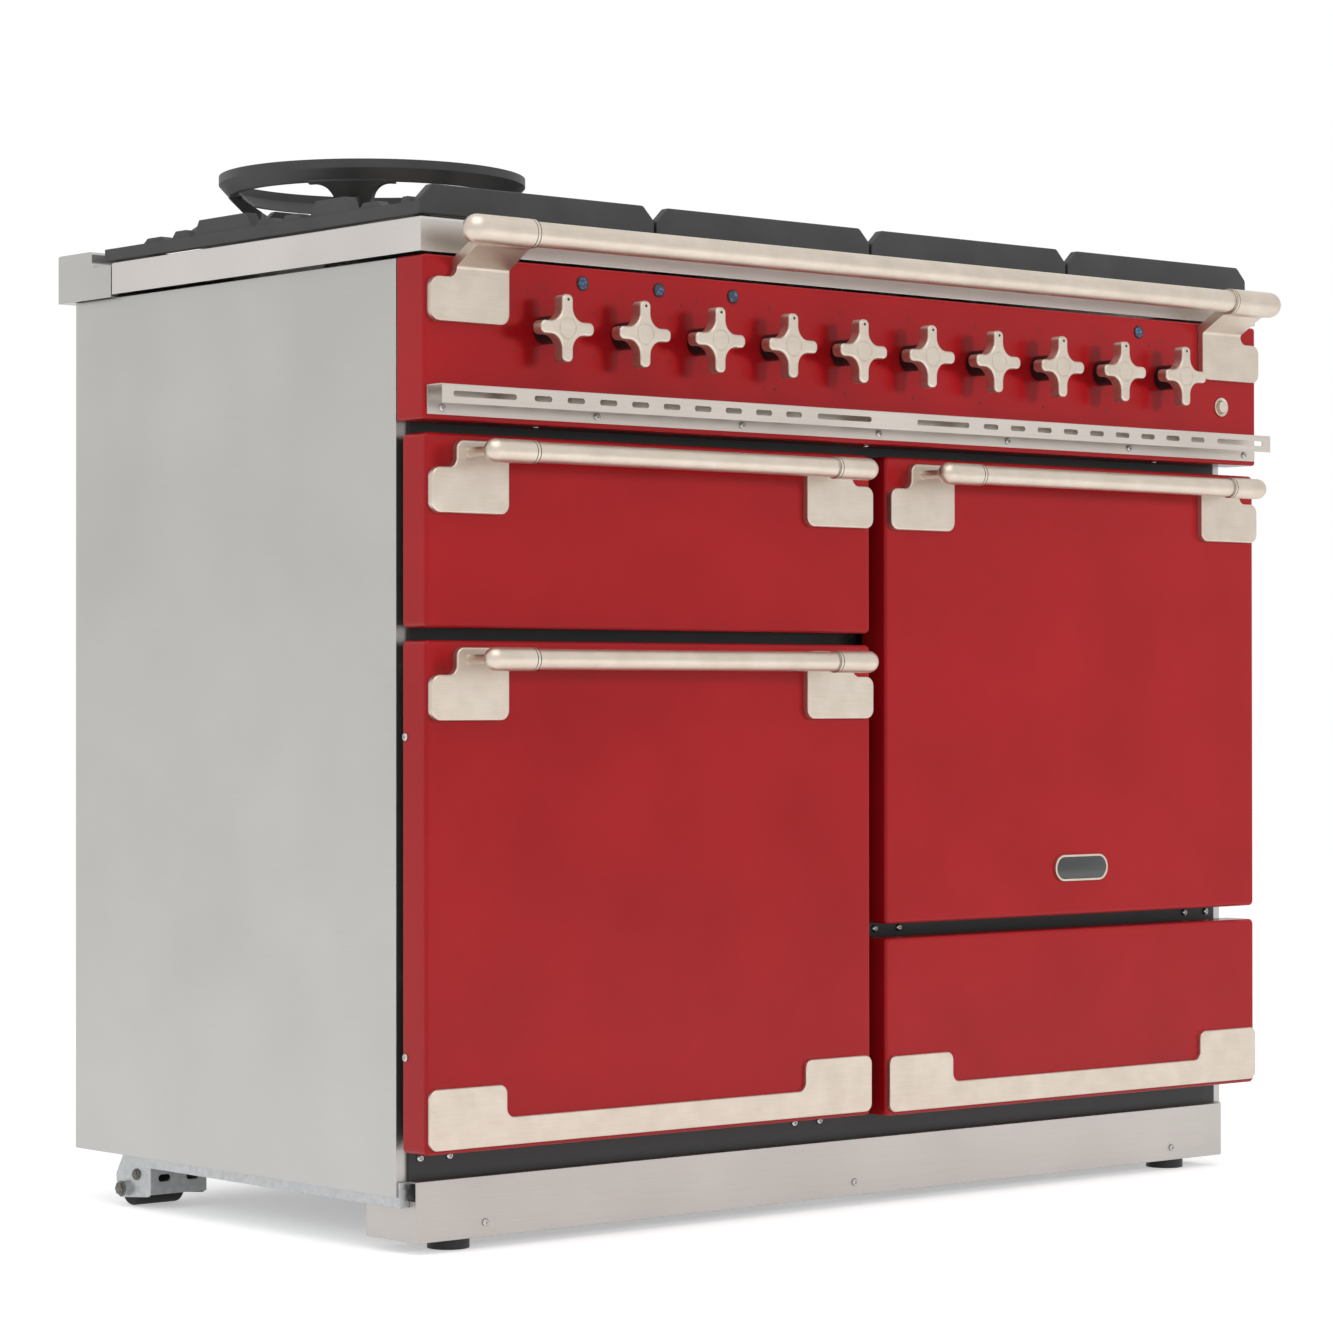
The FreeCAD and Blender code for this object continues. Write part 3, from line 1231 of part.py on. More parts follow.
def pan_support(index):
    """Cast-iron pan support: a tall front bar, lower side bars, fingers and four feet."""
    x0 = (index - 2) * support_pitch + (support_pitch - support_width) / 2
    x1 = x0 + support_width
    b = support_bar
    y0 = support_front
    y1 = support_back
    low = support_foot
    c = 13.0
    front = upright([(x0, low, 1.5), (x1, low, 1.5), (x1, support_top - c, 5), (x1 - c, support_top, 5),
                     (x0 + c, support_top, 5), (x0, support_top - c, 5)], y0, y0 + b)
    front = front.makeFillet(1.5, [e for e in front.Edges if e.BoundBox.YMax < y0 + 0.01])
    parts = [front]
    for a in (x0, x1 - b):
        parts.append(block(a, a + b, y0 + b / 2, y1, low, support_side_top))
    parts.append(block(x0, x1, y1 - b, y1, low, support_side_top))
    frame = block(x0 + 1, x1 - 1, y0 + 2, y1 - 2, low, support_top + 1)
    mine = [place for place in burner_places if x0 < place[0] < x1]
    for x, y, radius in mine:
        if len(mine) == 2:
            room = block(x0, x1, *sorted((burner_middle, y0 if y < burner_middle else y1)), low,
                         support_top + 1)
            angles = [30, 90, 150, 210, 270, 330]
        else:
            room = frame
            angles = [0, 45, 90, 135, 180, 225, 270, 315]
        for angle in angles:
            parts.append(support_rib(x, y, angle, radius * 0.72).common(frame).common(room))
    if len(mine) == 2:
        parts.append(block(x0 + 1, x1 - 1, burner_middle - b / 2, burner_middle + b / 2, low,
                           support_side_top))
    body = fuse(parts)
    depth = y1 - y0
    slopes = []
    for edge, inward in ((x0, 1), (x1, -1)):
        profile = [(edge - inward, support_side_top, 0), (edge + inward * b, support_side_top, 0),
                   (edge + inward * 26, support_top + 1, 0), (edge - inward, support_top + 1, 0)]
        profile = profile if inward > 0 else profile[::-1]
        slopes.append(upright(profile, y0 + b + 1, y1 + 1))
    rear = sideways([(y1 - b, support_side_top, 0), (y1 + 1, support_side_top, 0),
                     (y1 + 1, support_top + 1, 0),
                     (y1 - 26, support_top + 1, 0)], x0 - 1, x1 + 1)
    body = body.cut(slopes + [rear])
    nibs = []
    for edge, inward in ((x0, 1), (x1, -1)):
        near, far = sorted((edge + inward * 1.5, edge + inward * (b + 5)))
        for back_share, front_share, rise in nib_marks:
            back = y0 + depth * back_share
            start = y0 + depth * front_share
            slope = min(10, (back - start) / 4)
            nibs.append(sideways([(start, support_side_top - 2, 0), (back, support_side_top - 2, 0),
                                  (back - slope, support_side_top + rise, 2),
                                  (start + slope, support_side_top + rise, 2)], near, far))
    feet = []
    for x in (x0 + 22, x1 - 22):
        for y in (y0 + 24, y1 - 62):
            feet.append(block(x - 4, x + 4, y - 4, y + 4, hob_floor + rest_gap, low + 10))
            feet.append(block(min(x, x0 if x < (x0 + x1) / 2 else x1 - b),
                              max(x, x0 + b if x < (x0 + x1) / 2 else x1),
                              y - 4, y + 4, low, support_side_top))
    over_caps = [Part.makeCylinder(radius + 5, 20, V(x, y, hob_floor + 3), Z_AXIS)
                 for x, y, radius in mine]
    return fuse([body] + nibs + feet).cut(over_caps).removeSplitter()


def wok_stand():
    """Ring that carries a round-bottomed pan, on four flared legs."""
    x, y, _ = burner_places[0]
    wall = 5.0
    rim_low = wok_top - wok_rim
    cone_low = rim_low - 11
    profile = [V(wok_radius, 0, wok_top), V(wok_radius, 0, rim_low), V(wok_radius - 10, 0, cone_low),
               V(wok_radius - 10 - wall, 0, cone_low), V(wok_radius - wall, 0, rim_low),
               V(wok_radius - wall, 0, wok_top)]
    band = Part.Face(Part.makePolygon(profile + [profile[0]])).revolve(V(0, 0, 0), Z_AXIS, 360)
    seat = support_top + rest_gap
    r = wok_radius
    wall_shape = [V(wok_throat, 0, seat), V(wok_throat + 10, 0, seat), V(r - 9, 0, cone_low), V(r - 7, 0, rim_low - 3),
                  V(r - wall + 0.5, 0, rim_low + 2), V(r - 18, 0, cone_low + 1), V(wok_throat, 0, seat + 8)]
    cone = Part.Face(Part.makePolygon(wall_shape + [wall_shape[0]])).revolve(V(0, 0, 0), Z_AXIS, 360)
    flare = cone_low - seat - 2
    high = wok_leg + flare + 5
    outline = [(-wok_leg, seat - 1, 0), (wok_leg, seat - 1, 0), (wok_leg, cone_low - 1, flare), (high, cone_low - 1, 0),
               (high, rim_low + 3, 0), (-high, rim_low + 3, 0), (-high, cone_low - 1, 0), (-wok_leg, cone_low - 1, flare)]
    leg = cone.common(sideways(outline, wok_throat - 5, r + 5))
    lug = block(wok_throat + 6, wok_throat + 18, -6, 6, seat, seat + 12)
    leg = leg.fuse(lug)
    legs = []
    for i in range(4):
        copy = leg.copy()
        copy.rotate(V(0, 0, 0), Z_AXIS, wok_angle + 90 * i)
        legs.append(copy)
    ring = fuse([band] + legs)
    ring.translate(V(x, y, 0))
    return ring


# ---- hob rail ----------------------------------------------------------------------------------
def rail_bracket(side):
    """Plate on one end of the fascia whose neck curves forward to the rail."""
    out = hob_width / 2 - 5
    neck_out = out - 28
    inner = out - bracket_width - 1
    low = rail_bracket_foot
    step = rail_bracket_step
    bend = rail_bracket_bend
    corners = [(out, low, 9), (out, step, 9), (neck_out, step, 8), (neck_out, bend, 0),
               (inner, bend, 0), (inner, low, 9)]
    plate = upright([(side * a, z, r) for a, z, r in corners], -bracket_thickness, 0)
    t = bracket_thickness
    rise = sideways([(-t, bend - 14, 0), (0, bend - 14, 0), (0, bend, 8), (rail_y + 12, rail_z - 6, 4),
                     (rail_y - 2, rail_z - 6, 0),
                     (rail_y - 2, rail_z - 13, 0), (rail_y + 6, rail_z - 13, 6), (-t, bend - 7, 4)],
                    *sorted((side * neck_out, side * inner)))
    clear = Part.makeCylinder(rail_end_radius, 2 * rail_half + 20, V(-rail_half - 10, rail_y, rail_z),
                              X_AXIS)
    return plate.fuse(rise).cut(clear).removeSplitter()


def hob_rail():
    """Rail along the front of the hob, with its caps and brackets."""
    rail = turned_rail(0, rail_y, rail_z, rail_half, rail_joint, rail_bar_radius, rail_end_radius)
    return rail + [rail_bracket(side) for side in (-1, 1)]


def screws():
    """Every visible screw of the cabinet."""
    pieces = [front_screw(x, -1.0, z) for x, z in shield_screws]
    pieces += [front_screw(x, plinth_front, z) for x, z in plinth_screws]
    pieces += [front_screw(x, frame_face, z) for x, z in frame_screws]
    pieces += [under_screw(x, y, fascia_bottom) for x, y in fascia_screws]
    return pieces


# ---- build -------------------------------------------------------------------------------------
def build():
    """Write every node."""
    save("base_frame", base_frame(), centre_divider())
    save("front_frame", *(front_frame() + [hinge_blade_piece(c, z, s) for c, z in oven_places
                                           for s in (-1, 1)]))
    right_side = side_panel()
    save("side_panels", mirrored(right_side), right_side)
    save("rear_cover", rear_cover())
    save("plinth", plinth())
    right_foot = levelling_foot()
    save("front_feet", mirrored(right_foot), right_foot)
    forks = roller_bracket()
    save("roller_brackets", *([mirrored(s) for s in forks] + forks))
    right_roller = roller()
    save("rear_rollers", mirrored(right_roller), right_roller)
    save("screws", *screws())
    save("oven_liners", *([oven_liner(c, z) for c, z in oven_places]
                          + [fan_baffle(c, z) for c, z in oven_places]))
    save("oven_seals", *[oven_seal(c, z) for c, z in oven_places])
    elements = [ring_element(c, z) for c, z in oven_places] + [grill_element(side) for side in (-1, 1)]
    save("heating_elements", *elements)
    save("left_oven_fan", oven_fan(*oven_places[0]))
    save("right_oven_fan", oven_fan(*oven_places[1]))
    save("fan_motors", *[fan_motor(c, z) for c, z in oven_places])
    ladders = [rack_ladder(c, z, s) for c, z in oven_places for s in (-1, 1)]
    racks = [oven_rack(c, z, level) for c, z in oven_places for level in (1, 3)]
    save("oven_racks", *(ladders + racks))
    save("grill_chamber", grill_chamber())
    runners = [grill_runner(wall, inward) for wall, inward in runner_walls()]
    runners += [drawer_runner(wall, inward) for wall, inward in drawer_walls()]
    save("slide_runners", *runners)
    save("grill_panel", front_panel(left_centre, grill_bottom, drawer_height))
    save("grill_handle", *handle(left_centre, grill_top))
    save("grill_carriage", grill_carriage())
    save("grill_pan", *grill_pan())
    save("left_door_panel", door_panel(left_centre, left_door_bottom))
    save("left_door_liner", door_liner(left_centre, left_door_bottom))
    save("left_door_handle", *handle(left_centre, left_door_bottom + door_height))
    save("left_door_trim", bottom_trim(left_centre, left_door_bottom))
    save("right_door_panel", door_panel(right_centre, right_door_bottom))
    save("right_door_liner", door_liner(right_centre, right_door_bottom))
    save("right_door_handle", *handle(right_centre, right_door_bottom + door_height))
    save("badge_plate", badge_plate())
    save("drawer_panel", front_panel(right_centre, drawer_bottom, drawer_height))
    save("drawer_trim", bottom_trim(right_centre, drawer_bottom))
    save("drawer_box", drawer_box())
    save("control_fascia", control_fascia())
    save("slotted_guard", slotted_guard())
    save("indicator_lenses", *[lamp(x) for x in lamp_places])
    save("ignition_bezel", ignition_bezel())
    save("ignition_button", ignition_button())
    for name, x in zip(knob_names, knob_places):
        save(name, knob(x))
    save("gas_taps", *[tap_body(x) for x in tap_places])
    save("oven_switches", *[switch_body(x) for x in switch_places])
    save("gas_rail", gas_rail())
    save("hob_plate", hob_plate())
    save("rear_vent", rear_vent())
    save("hob_rail", *hob_rail())
    save("burners", *([burner_base(*p) for p in burner_places]
                      + [burner_cap(*p) for p in burner_places]))
    for i in range(4):
        save("pan_support_" + str(i + 1), pan_support(i))
    save("wok_ring", wok_stand())


knob_names = ["grill_knob", "left_function_knob", "left_oven_knob"]
knob_names += ["burner_knob_" + str(i + 1) for i in range(6)]
knob_names.append("right_oven_knob")

os.makedirs("parts", exist_ok=True)
build()
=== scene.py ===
# %% [markdown]
# # A freestanding gas range, 110 cm wide
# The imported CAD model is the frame: every sheet, casting and screw already has its place and its size.
# This lesson gives each piece its finish, adds the small pieces that are easier to model than to
# draft, and sets up a plain studio. All lengths are metres, +Z is up and -Y is the front.

# %% Load the frame
import math
import bpy
from mathutils import Matrix, Vector


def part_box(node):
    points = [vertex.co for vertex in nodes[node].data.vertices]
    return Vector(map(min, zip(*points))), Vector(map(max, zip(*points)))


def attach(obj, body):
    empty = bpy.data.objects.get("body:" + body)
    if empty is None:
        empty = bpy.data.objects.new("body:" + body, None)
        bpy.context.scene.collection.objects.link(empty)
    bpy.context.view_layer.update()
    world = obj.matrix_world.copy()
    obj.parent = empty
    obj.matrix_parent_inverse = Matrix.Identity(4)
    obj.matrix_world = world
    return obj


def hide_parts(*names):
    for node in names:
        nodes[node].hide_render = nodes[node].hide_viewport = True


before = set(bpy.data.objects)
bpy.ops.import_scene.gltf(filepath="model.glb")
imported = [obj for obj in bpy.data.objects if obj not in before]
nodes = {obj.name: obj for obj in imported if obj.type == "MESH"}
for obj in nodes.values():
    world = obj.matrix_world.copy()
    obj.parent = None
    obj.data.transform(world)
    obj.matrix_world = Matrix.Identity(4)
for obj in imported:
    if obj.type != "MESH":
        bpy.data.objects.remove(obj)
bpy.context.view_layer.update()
MM = 0.001

# %% [markdown]
# ## Colours and the node helper
# A colour is written as the sRGB hex value that a paint chart would give. Cycles works with linear
# light, so one function turns the hex value into linear numbers. One more function adds a shader
# node, with its settings, its values and its links, so that each material below reads as a list.

# %% Colour and node helpers
def linear(code):
    """Linear RGBA of an sRGB hex value."""
    parts = [int(code[i:i + 2], 16) / 255 for i in (1, 3, 5)]
    return [p / 12.92 if p <= 0.04045 else ((p + 0.055) / 1.055) ** 2.4 for p in parts] + [1.0]


def add(tree, kind, values=None, links=None, **settings):
    """Add a node. values sets sockets, links joins outputs to sockets."""
    node = tree.nodes.new("ShaderNode" + kind)
    for name, value in settings.items():
        setattr(node, name, value)
    for name, value in (values or {}).items():
        node.inputs[name].default_value = value
    for name, output in (links or {}).items():
        tree.links.new(output, node.inputs[name])
    return node


# A Mix node has sockets of the same name for each kind of data, so those of a colour go by number.
FACTOR, COLOUR_A, COLOUR_B, MIXED_COLOUR = 0, 6, 7, 2


def start(name, **surface):
    """New material with a Principled shader.

    Returns the material, its tree, its shader and its Object coordinates.
    """
    material = bpy.data.materials.new(name)
    material.use_nodes = True
    tree = material.node_tree
    shader = tree.nodes["Principled BSDF"]
    for socket, value in surface.items():
        shader.inputs[socket.replace("_", " ")].default_value = value
    place = add(tree, "TexCoord").outputs["Object"]
    return material, tree, shader, place


def per_mm(size):
    """Texture scale that makes one feature this many millimetres wide."""
    return 1000.0 / size


def stretched(tree, place, x, y, z):
    """Object coordinates multiplied along each axis."""
    return add(tree, "Mapping", {"Scale": (x, y, z)}, {"Vector": place}).outputs["Vector"]


def between(tree, fac, low, high, start_at=0.3, end_at=0.7):
    """Colour that runs from low to high as fac does."""
    ramp = add(tree, "ValToRGB", None, {"Fac": fac})
    ramp.color_ramp.elements[0].position = start_at
    ramp.color_ramp.elements[0].color = linear(low)
    ramp.color_ramp.elements[1].position = end_at
    ramp.color_ramp.elements[1].color = linear(high)
    return ramp.outputs["Color"]


def roughen(tree, shader, fac, low, high):
    """Roughness that runs between two values as fac does."""
    spread = add(tree, "MapRange", {"To Min": low, "To Max": high}, {"Value": fac})
    tree.links.new(spread.outputs["Result"], shader.inputs["Roughness"])


def emboss(tree, shader, height, strength, depth_mm, below=None, edge_mm=0.8):
    """Bump of a real depth, on edges that are shaded as rounded to edge_mm."""
    below = below or add(tree, "Bevel", {"Radius": edge_mm * MM}, samples=4).outputs["Normal"]
    bump = add(tree, "Bump", {"Strength": strength, "Distance": depth_mm * MM},
               {"Height": height, "Normal": below})
    tree.links.new(bump.outputs["Normal"], shader.inputs["Normal"])
    return bump.outputs["Normal"]


print("helpers ready")

# %% [markdown]
# ## Cherry red vitreous enamel
# The fronts and the fascia are pressed steel, sprayed with glass powder and fired. The glass flows
# a little before it sets, so the surface has a very slight ripple, some 9 mm from crest to crest,
# under a finer orange peel of about 1.2 mm. The pigment sits close under a thin satin glaze, so the
# red stays deep and the mirror is weak: a low specular level does that better than a darker red.

# %% Cherry red vitreous enamel
cherry_enamel, tree, shader, place = start("cherry_red_vitreous_enamel", IOR=1.5, Specular_IOR_Level=0.2)
cloud = add(tree, "TexNoise", {"Scale": per_mm(120), "Detail": 3.0}, {"Vector": place}).outputs["Fac"]
tree.links.new(between(tree, cloud, "#900e13", "#9a1218"), shader.inputs["Base Color"])
roughen(tree, shader, cloud, 0.2, 0.28)
ripple = add(tree, "TexNoise", {"Scale": per_mm(9), "Detail": 1.0}, {"Vector": place}).outputs["Fac"]
peel = add(tree, "TexNoise", {"Scale": per_mm(1.2), "Detail": 1.0}, {"Vector": place}).outputs["Fac"]
slow = emboss(tree, shader, ripple, 0.10, 0.25, edge_mm=1.6)
emboss(tree, shader, peel, 0.10, 0.03, slow)
print(cherry_enamel.name)

# %% [markdown]
# ## Brushed stainless steel
# The side panels, the hob trim, the vent, the plinth and the slotted guard are ferritic stainless
# sheet, ground with an abrasive belt. The belt leaves hair lines along the sheet: short across,
# 0.7 mm here so that they show, and long along the grain. The lines change the colour and
# the roughness a little. Anisotropy would need a tangent, so the lines themselves carry the look.

# %% Brushed stainless steel
def brushed_steel(name, low, high, along, rough_low, rough_high, line_mm=0.7):
    """Ground metal sheet whose hair lines run along one axis."""
    material, tree, shader, place = start(name, Metallic=1.0)
    squeeze = [1.0 if axis != along else 0.012 for axis in range(3)]
    lines = add(tree, "TexNoise", {"Scale": per_mm(line_mm), "Detail": 3.0, "Roughness": 0.6},
                {"Vector": stretched(tree, place, *squeeze)}).outputs["Fac"]
    cloud = add(tree, "TexNoise", {"Scale": per_mm(160), "Detail": 2.0}, {"Vector": place}).outputs["Fac"]
    blend = add(tree, "Mix", {"Factor": 0.4}, {"A": cloud, "B": lines}, data_type="FLOAT").outputs["Result"]
    tree.links.new(between(tree, blend, low, high, 0.33, 0.67), shader.inputs["Base Color"])
    roughen(tree, shader, lines, rough_low, rough_high)
    emboss(tree, shader, lines, 0.12, 0.02)
    return material


side_steel = brushed_steel("brushed_stainless_steel_sheet", "#b6b4b1", "#bfbdba", 1, 0.34, 0.46)
trim_steel = brushed_steel("brushed_stainless_steel_trim", "#c7c2be", "#d7d2ce", 0, 0.28, 0.4)
plinth_steel = brushed_steel("brushed_stainless_steel_plinth", "#b3aeaa", "#c1bcb8", 0, 0.34, 0.46)
guard_steel = brushed_steel("brushed_stainless_steel_guard", "#c4bcb4", "#d6cec6", 0, 0.3, 0.42)
print(side_steel.name, trim_steel.name, plinth_steel.name, guard_steel.name)

# %% [markdown]
# ## Satin nickel plate
# The handles, the rail, the trims, the knobs and the badge tray are cast or turned, then plated
# with nickel and brushed to satin along their length. Nickel is warmer than steel. The brushing
# leaves soft lines 0.6 mm wide, and the casting under the plate a faint cloudiness some
# 25 mm across. The colour stays close together, because plate doesn't mottle.

# %% Satin nickel plate
def nickel_plate(name, collar_from=None):
    """Satin nickel. Where Y is more than collar_from (in metres), the same casting sits in black nylon."""
    material, tree, shader, place = start(name, Metallic=1.0)
    cloud = add(tree, "TexNoise", {"Scale": per_mm(25), "Detail": 2.0}, {"Vector": place}).outputs["Fac"]
    lines = add(tree, "TexNoise", {"Scale": per_mm(0.6), "Detail": 2.0},
                {"Vector": stretched(tree, place, 0.03, 1.0, 1.0)}).outputs["Fac"]
    blend = add(tree, "Mix", {"Factor": 0.45}, {"A": cloud, "B": lines}, data_type="FLOAT").outputs["Result"]
    colour = between(tree, blend, "#c8bcae", "#d5cabd", 0.35, 0.65)
    roughen(tree, shader, lines, 0.36, 0.46)
    emboss(tree, shader, lines, 0.10, 0.02, edge_mm=1.2)
    if collar_from is not None:
        depth = add(tree, "SeparateXYZ", None, {"Vector": place}).outputs["Y"]
        reach = {"From Min": collar_from, "From Max": collar_from + 0.1 * MM}
        behind = add(tree, "MapRange", reach, {"Value": depth}).outputs["Result"]
        plated = add(tree, "MapRange", {**reach, "To Min": 1.0, "To Max": 0.0},
                     {"Value": depth}).outputs["Result"]
        colour = add(tree, "Mix", {COLOUR_B: linear("#101010")}, {FACTOR: behind, COLOUR_A: colour},
                     data_type="RGBA").outputs[MIXED_COLOUR]
        tree.links.new(plated, shader.inputs["Metallic"])
    tree.links.new(colour, shader.inputs["Base Color"])
    return material


knob_back = -0.2897  # Y at which the plated cross ends and the nylon collar behind it starts
satin_nickel = nickel_plate("satin_nickel_plate")
knob_nickel = nickel_plate("satin_nickel_knob_on_black_nylon_collar", knob_back)
print(satin_nickel.name, knob_nickel.name)

# %% [markdown]
# ## Cast iron under matt enamel
# The pan supports and the wok ring are sand-cast iron with a matt grey enamel. Sand grains of about
# half a millimetre leave a pebbly skin that the enamel only half fills, so the light breaks up. The
# grain is drawn at 1.1 mm, twice its real size, so that it shows.

# %% Enamelled cast iron
cast_iron, tree, shader, place = start("matt_enamelled_cast_iron", IOR=1.5)
grain = add(tree, "TexNoise", {"Scale": per_mm(1.1), "Detail": 4.0, "Roughness": 0.65},
            {"Vector": place}).outputs["Fac"]
cloud = add(tree, "TexNoise", {"Scale": per_mm(40), "Detail": 3.0}, {"Vector": place}).outputs["Fac"]
tree.links.new(between(tree, cloud, "#282828", "#313131"), shader.inputs["Base Color"])
roughen(tree, shader, grain, 0.42, 0.62)
emboss(tree, shader, grain, 0.35, 0.12)
print(cast_iron.name)

# %% [markdown]
# ## Galvanised steel
# The base frame, the roller forks, the slide runners, the gas pipe, the fan motors and the back
# sheet are galvanised. The zinc freezes in small crystals, some 5 mm across, each a hardly different grey,
# which is what a Voronoi pattern gives. A fine noise over it dulls the shine.

# %% Galvanised steel
zinc, tree, shader, place = start("galvanised_steel", Metallic=1.0)
crystal = add(tree, "TexVoronoi", {"Scale": per_mm(5)}, {"Vector": place}).outputs["Color"]
level = add(tree, "RGBToBW", None, {"Color": crystal}).outputs["Val"]
tree.links.new(between(tree, level, "#a9acad", "#bcbebf", 0.1, 0.9), shader.inputs["Base Color"])
roughen(tree, shader, level, 0.32, 0.5)
film = add(tree, "TexNoise", {"Scale": per_mm(1.5), "Detail": 2.0}, {"Vector": place}).outputs["Fac"]
emboss(tree, shader, film, 0.15, 0.02)
print(zinc.name)

# %% [markdown]
# ## Black and grey stove enamel
# The front frame and the inner doors are satin black. The ovens, the grill chamber and its pan have
# the usual dark grey enamel with white flecks: glass frit of a second colour, about 1.2 mm a fleck,
# thrown into the wet coat. A sharp ramp on a noise turns most of it off and leaves the flecks.

# %% Black and grey stove enamel
black_enamel, tree, shader, place = start("satin_black_stove_enamel", IOR=1.5)
cloud = add(tree, "TexNoise", {"Scale": per_mm(30), "Detail": 3.0}, {"Vector": place}).outputs["Fac"]
peel = add(tree, "TexNoise", {"Scale": per_mm(1.0), "Detail": 1.0}, {"Vector": place}).outputs["Fac"]
tree.links.new(between(tree, cloud, "#161616", "#1e1e1e"), shader.inputs["Base Color"])
roughen(tree, shader, cloud, 0.38, 0.5)
emboss(tree, shader, peel, 0.12, 0.03)

flecked_enamel, tree, shader, place = start("flecked_grey_oven_enamel", IOR=1.5,
                                            Coat_Weight=0.4, Coat_Roughness=0.1)
fleck = add(tree, "TexNoise", {"Scale": per_mm(1.2), "Detail": 1.0}, {"Vector": place}).outputs["Fac"]
tree.links.new(between(tree, fleck, "#3b3d42", "#c9cbd0", 0.66, 0.72), shader.inputs["Base Color"])
roughen(tree, shader, fleck, 0.25, 0.35)
ripple = add(tree, "TexNoise", {"Scale": per_mm(6), "Detail": 1.0}, {"Vector": place}).outputs["Fac"]
emboss(tree, shader, ripple, 0.15, 0.1)
print(black_enamel.name, flecked_enamel.name)

# %% [markdown]
# ## Chrome, cast aluminium and brass
# Screws, oven racks and heating elements have a bright coat, drawn as one chrome plate: smooth, with
# a faint cloudiness of 2.5 mm. The burners and the fan wheels are aluminium, blasted matt, with a
# grain of about a millimetre. The burners' loose caps have black enamel: the colour and the metal
# change at the height where the cap sits. The gas taps are turned brass, tarnished in patches.

# %% Chrome, cast aluminium and brass
def small_metal(name, low, high, grain_mm, rough_low, rough_high, depth_mm):
    """Metal whose colour and roughness follow one grain."""
    material, tree, shader, place = start(name, Metallic=1.0)
    grain = add(tree, "TexNoise", {"Scale": per_mm(grain_mm), "Detail": 3.0},
                {"Vector": place}).outputs["Fac"]
    tree.links.new(between(tree, grain, low, high), shader.inputs["Base Color"])
    roughen(tree, shader, grain, rough_low, rough_high)
    emboss(tree, shader, grain, 0.2, depth_mm)
    return material


chrome = small_metal("chrome_plated_steel", "#afaeac", "#c6c5c3", 2.5, 0.16, 0.3, 0.005)
cast_aluminium = small_metal("blasted_cast_aluminium", "#a5a6a6", "#bfc0c0", 1.0, 0.45, 0.6, 0.05)
tap_brass = small_metal("turned_brass", "#b08d48", "#d0ae66", 9.0, 0.25, 0.45, 0.01)
burner_castings = small_metal("blasted_aluminium_under_enamelled_cap", "#a5a6a6", "#bfc0c0",
                              1.0, 0.45, 0.6, 0.05)
tree = burner_castings.node_tree
shader = tree.nodes["Principled BSDF"]
place = tree.nodes["Texture Coordinate"].outputs["Object"]
height = add(tree, "SeparateXYZ", None, {"Vector": place}).outputs["Z"]
cap_seat = 0.9101  # height of the joint between a burner's body and its loose cap
cap_reach = {"From Min": cap_seat, "From Max": cap_seat + 0.1 * MM}
cap = add(tree, "MapRange", cap_reach, {"Value": height}).outputs["Result"]
bare = add(tree, "MapRange", {**cap_reach, "To Min": 1.0, "To Max": 0.0}, {"Value": height}).outputs["Result"]
metal = shader.inputs["Base Color"].links[0].from_socket
two_tone = add(tree, "Mix", {COLOUR_B: linear("#1b1b1c")}, {FACTOR: cap, COLOUR_A: metal},
               data_type="RGBA").outputs[MIXED_COLOUR]
tree.links.new(two_tone, shader.inputs["Base Color"])
tree.links.new(bare, shader.inputs["Metallic"])
print(chrome.name, cast_aluminium.name, tap_brass.name, burner_castings.name)

# %% [markdown]
# ## Rubber, plastics, seal and lenses
# The rollers are moulded rubber, matt with a fine tooth. The feet and the switches are black nylon
# with a spark-eroded grain. The oven seal is woven glass fibre: two crossed waves. A diagonal wave
# repeats every 0.363 / Scale metres, here about 3.6 mm, which is coarser than the real yarn so that it
# shows. The indicator lenses are blue acrylic with a cut back: its facets, 3.4 mm across, are bumped
# into the surface, and the light they send back in some places and the dark of the others are a
# painted reflection in the base colour.

# %% Rubber, plastics, seal and lenses
def moulded(name, low, high, grain_mm, rough_low, rough_high, depth_mm):
    """Moulded dielectric with an even grain."""
    material, tree, shader, place = start(name, IOR=1.48)
    grain = add(tree, "TexNoise", {"Scale": per_mm(grain_mm), "Detail": 2.0},
                {"Vector": place}).outputs["Fac"]
    tree.links.new(between(tree, grain, low, high), shader.inputs["Base Color"])
    roughen(tree, shader, grain, rough_low, rough_high)
    emboss(tree, shader, grain, 0.25, depth_mm)
    return material


roller_rubber = moulded("moulded_black_rubber", "#141414", "#202020", 0.9, 0.6, 0.8, 0.06)
black_nylon = moulded("spark_grained_black_nylon", "#151515", "#1e1e1e", 0.6, 0.4, 0.55, 0.03)
blue_acrylic, tree, shader, place = start("cut_blue_acrylic_lens", IOR=1.49,
                                          Coat_Weight=0.6, Coat_Roughness=0.03)
facet = add(tree, "TexVoronoi", {"Scale": per_mm(3.4)}, {"Vector": place}).outputs["Distance"]
# Painted reflection: light blue at the middle of each facet, dark navy towards its edges.
tree.links.new(between(tree, facet, "#2f6fae", "#0b1a33", 0.15, 0.5), shader.inputs["Base Color"])
roughen(tree, shader, facet, 0.05, 0.12)
emboss(tree, shader, facet, 0.5, 0.4)

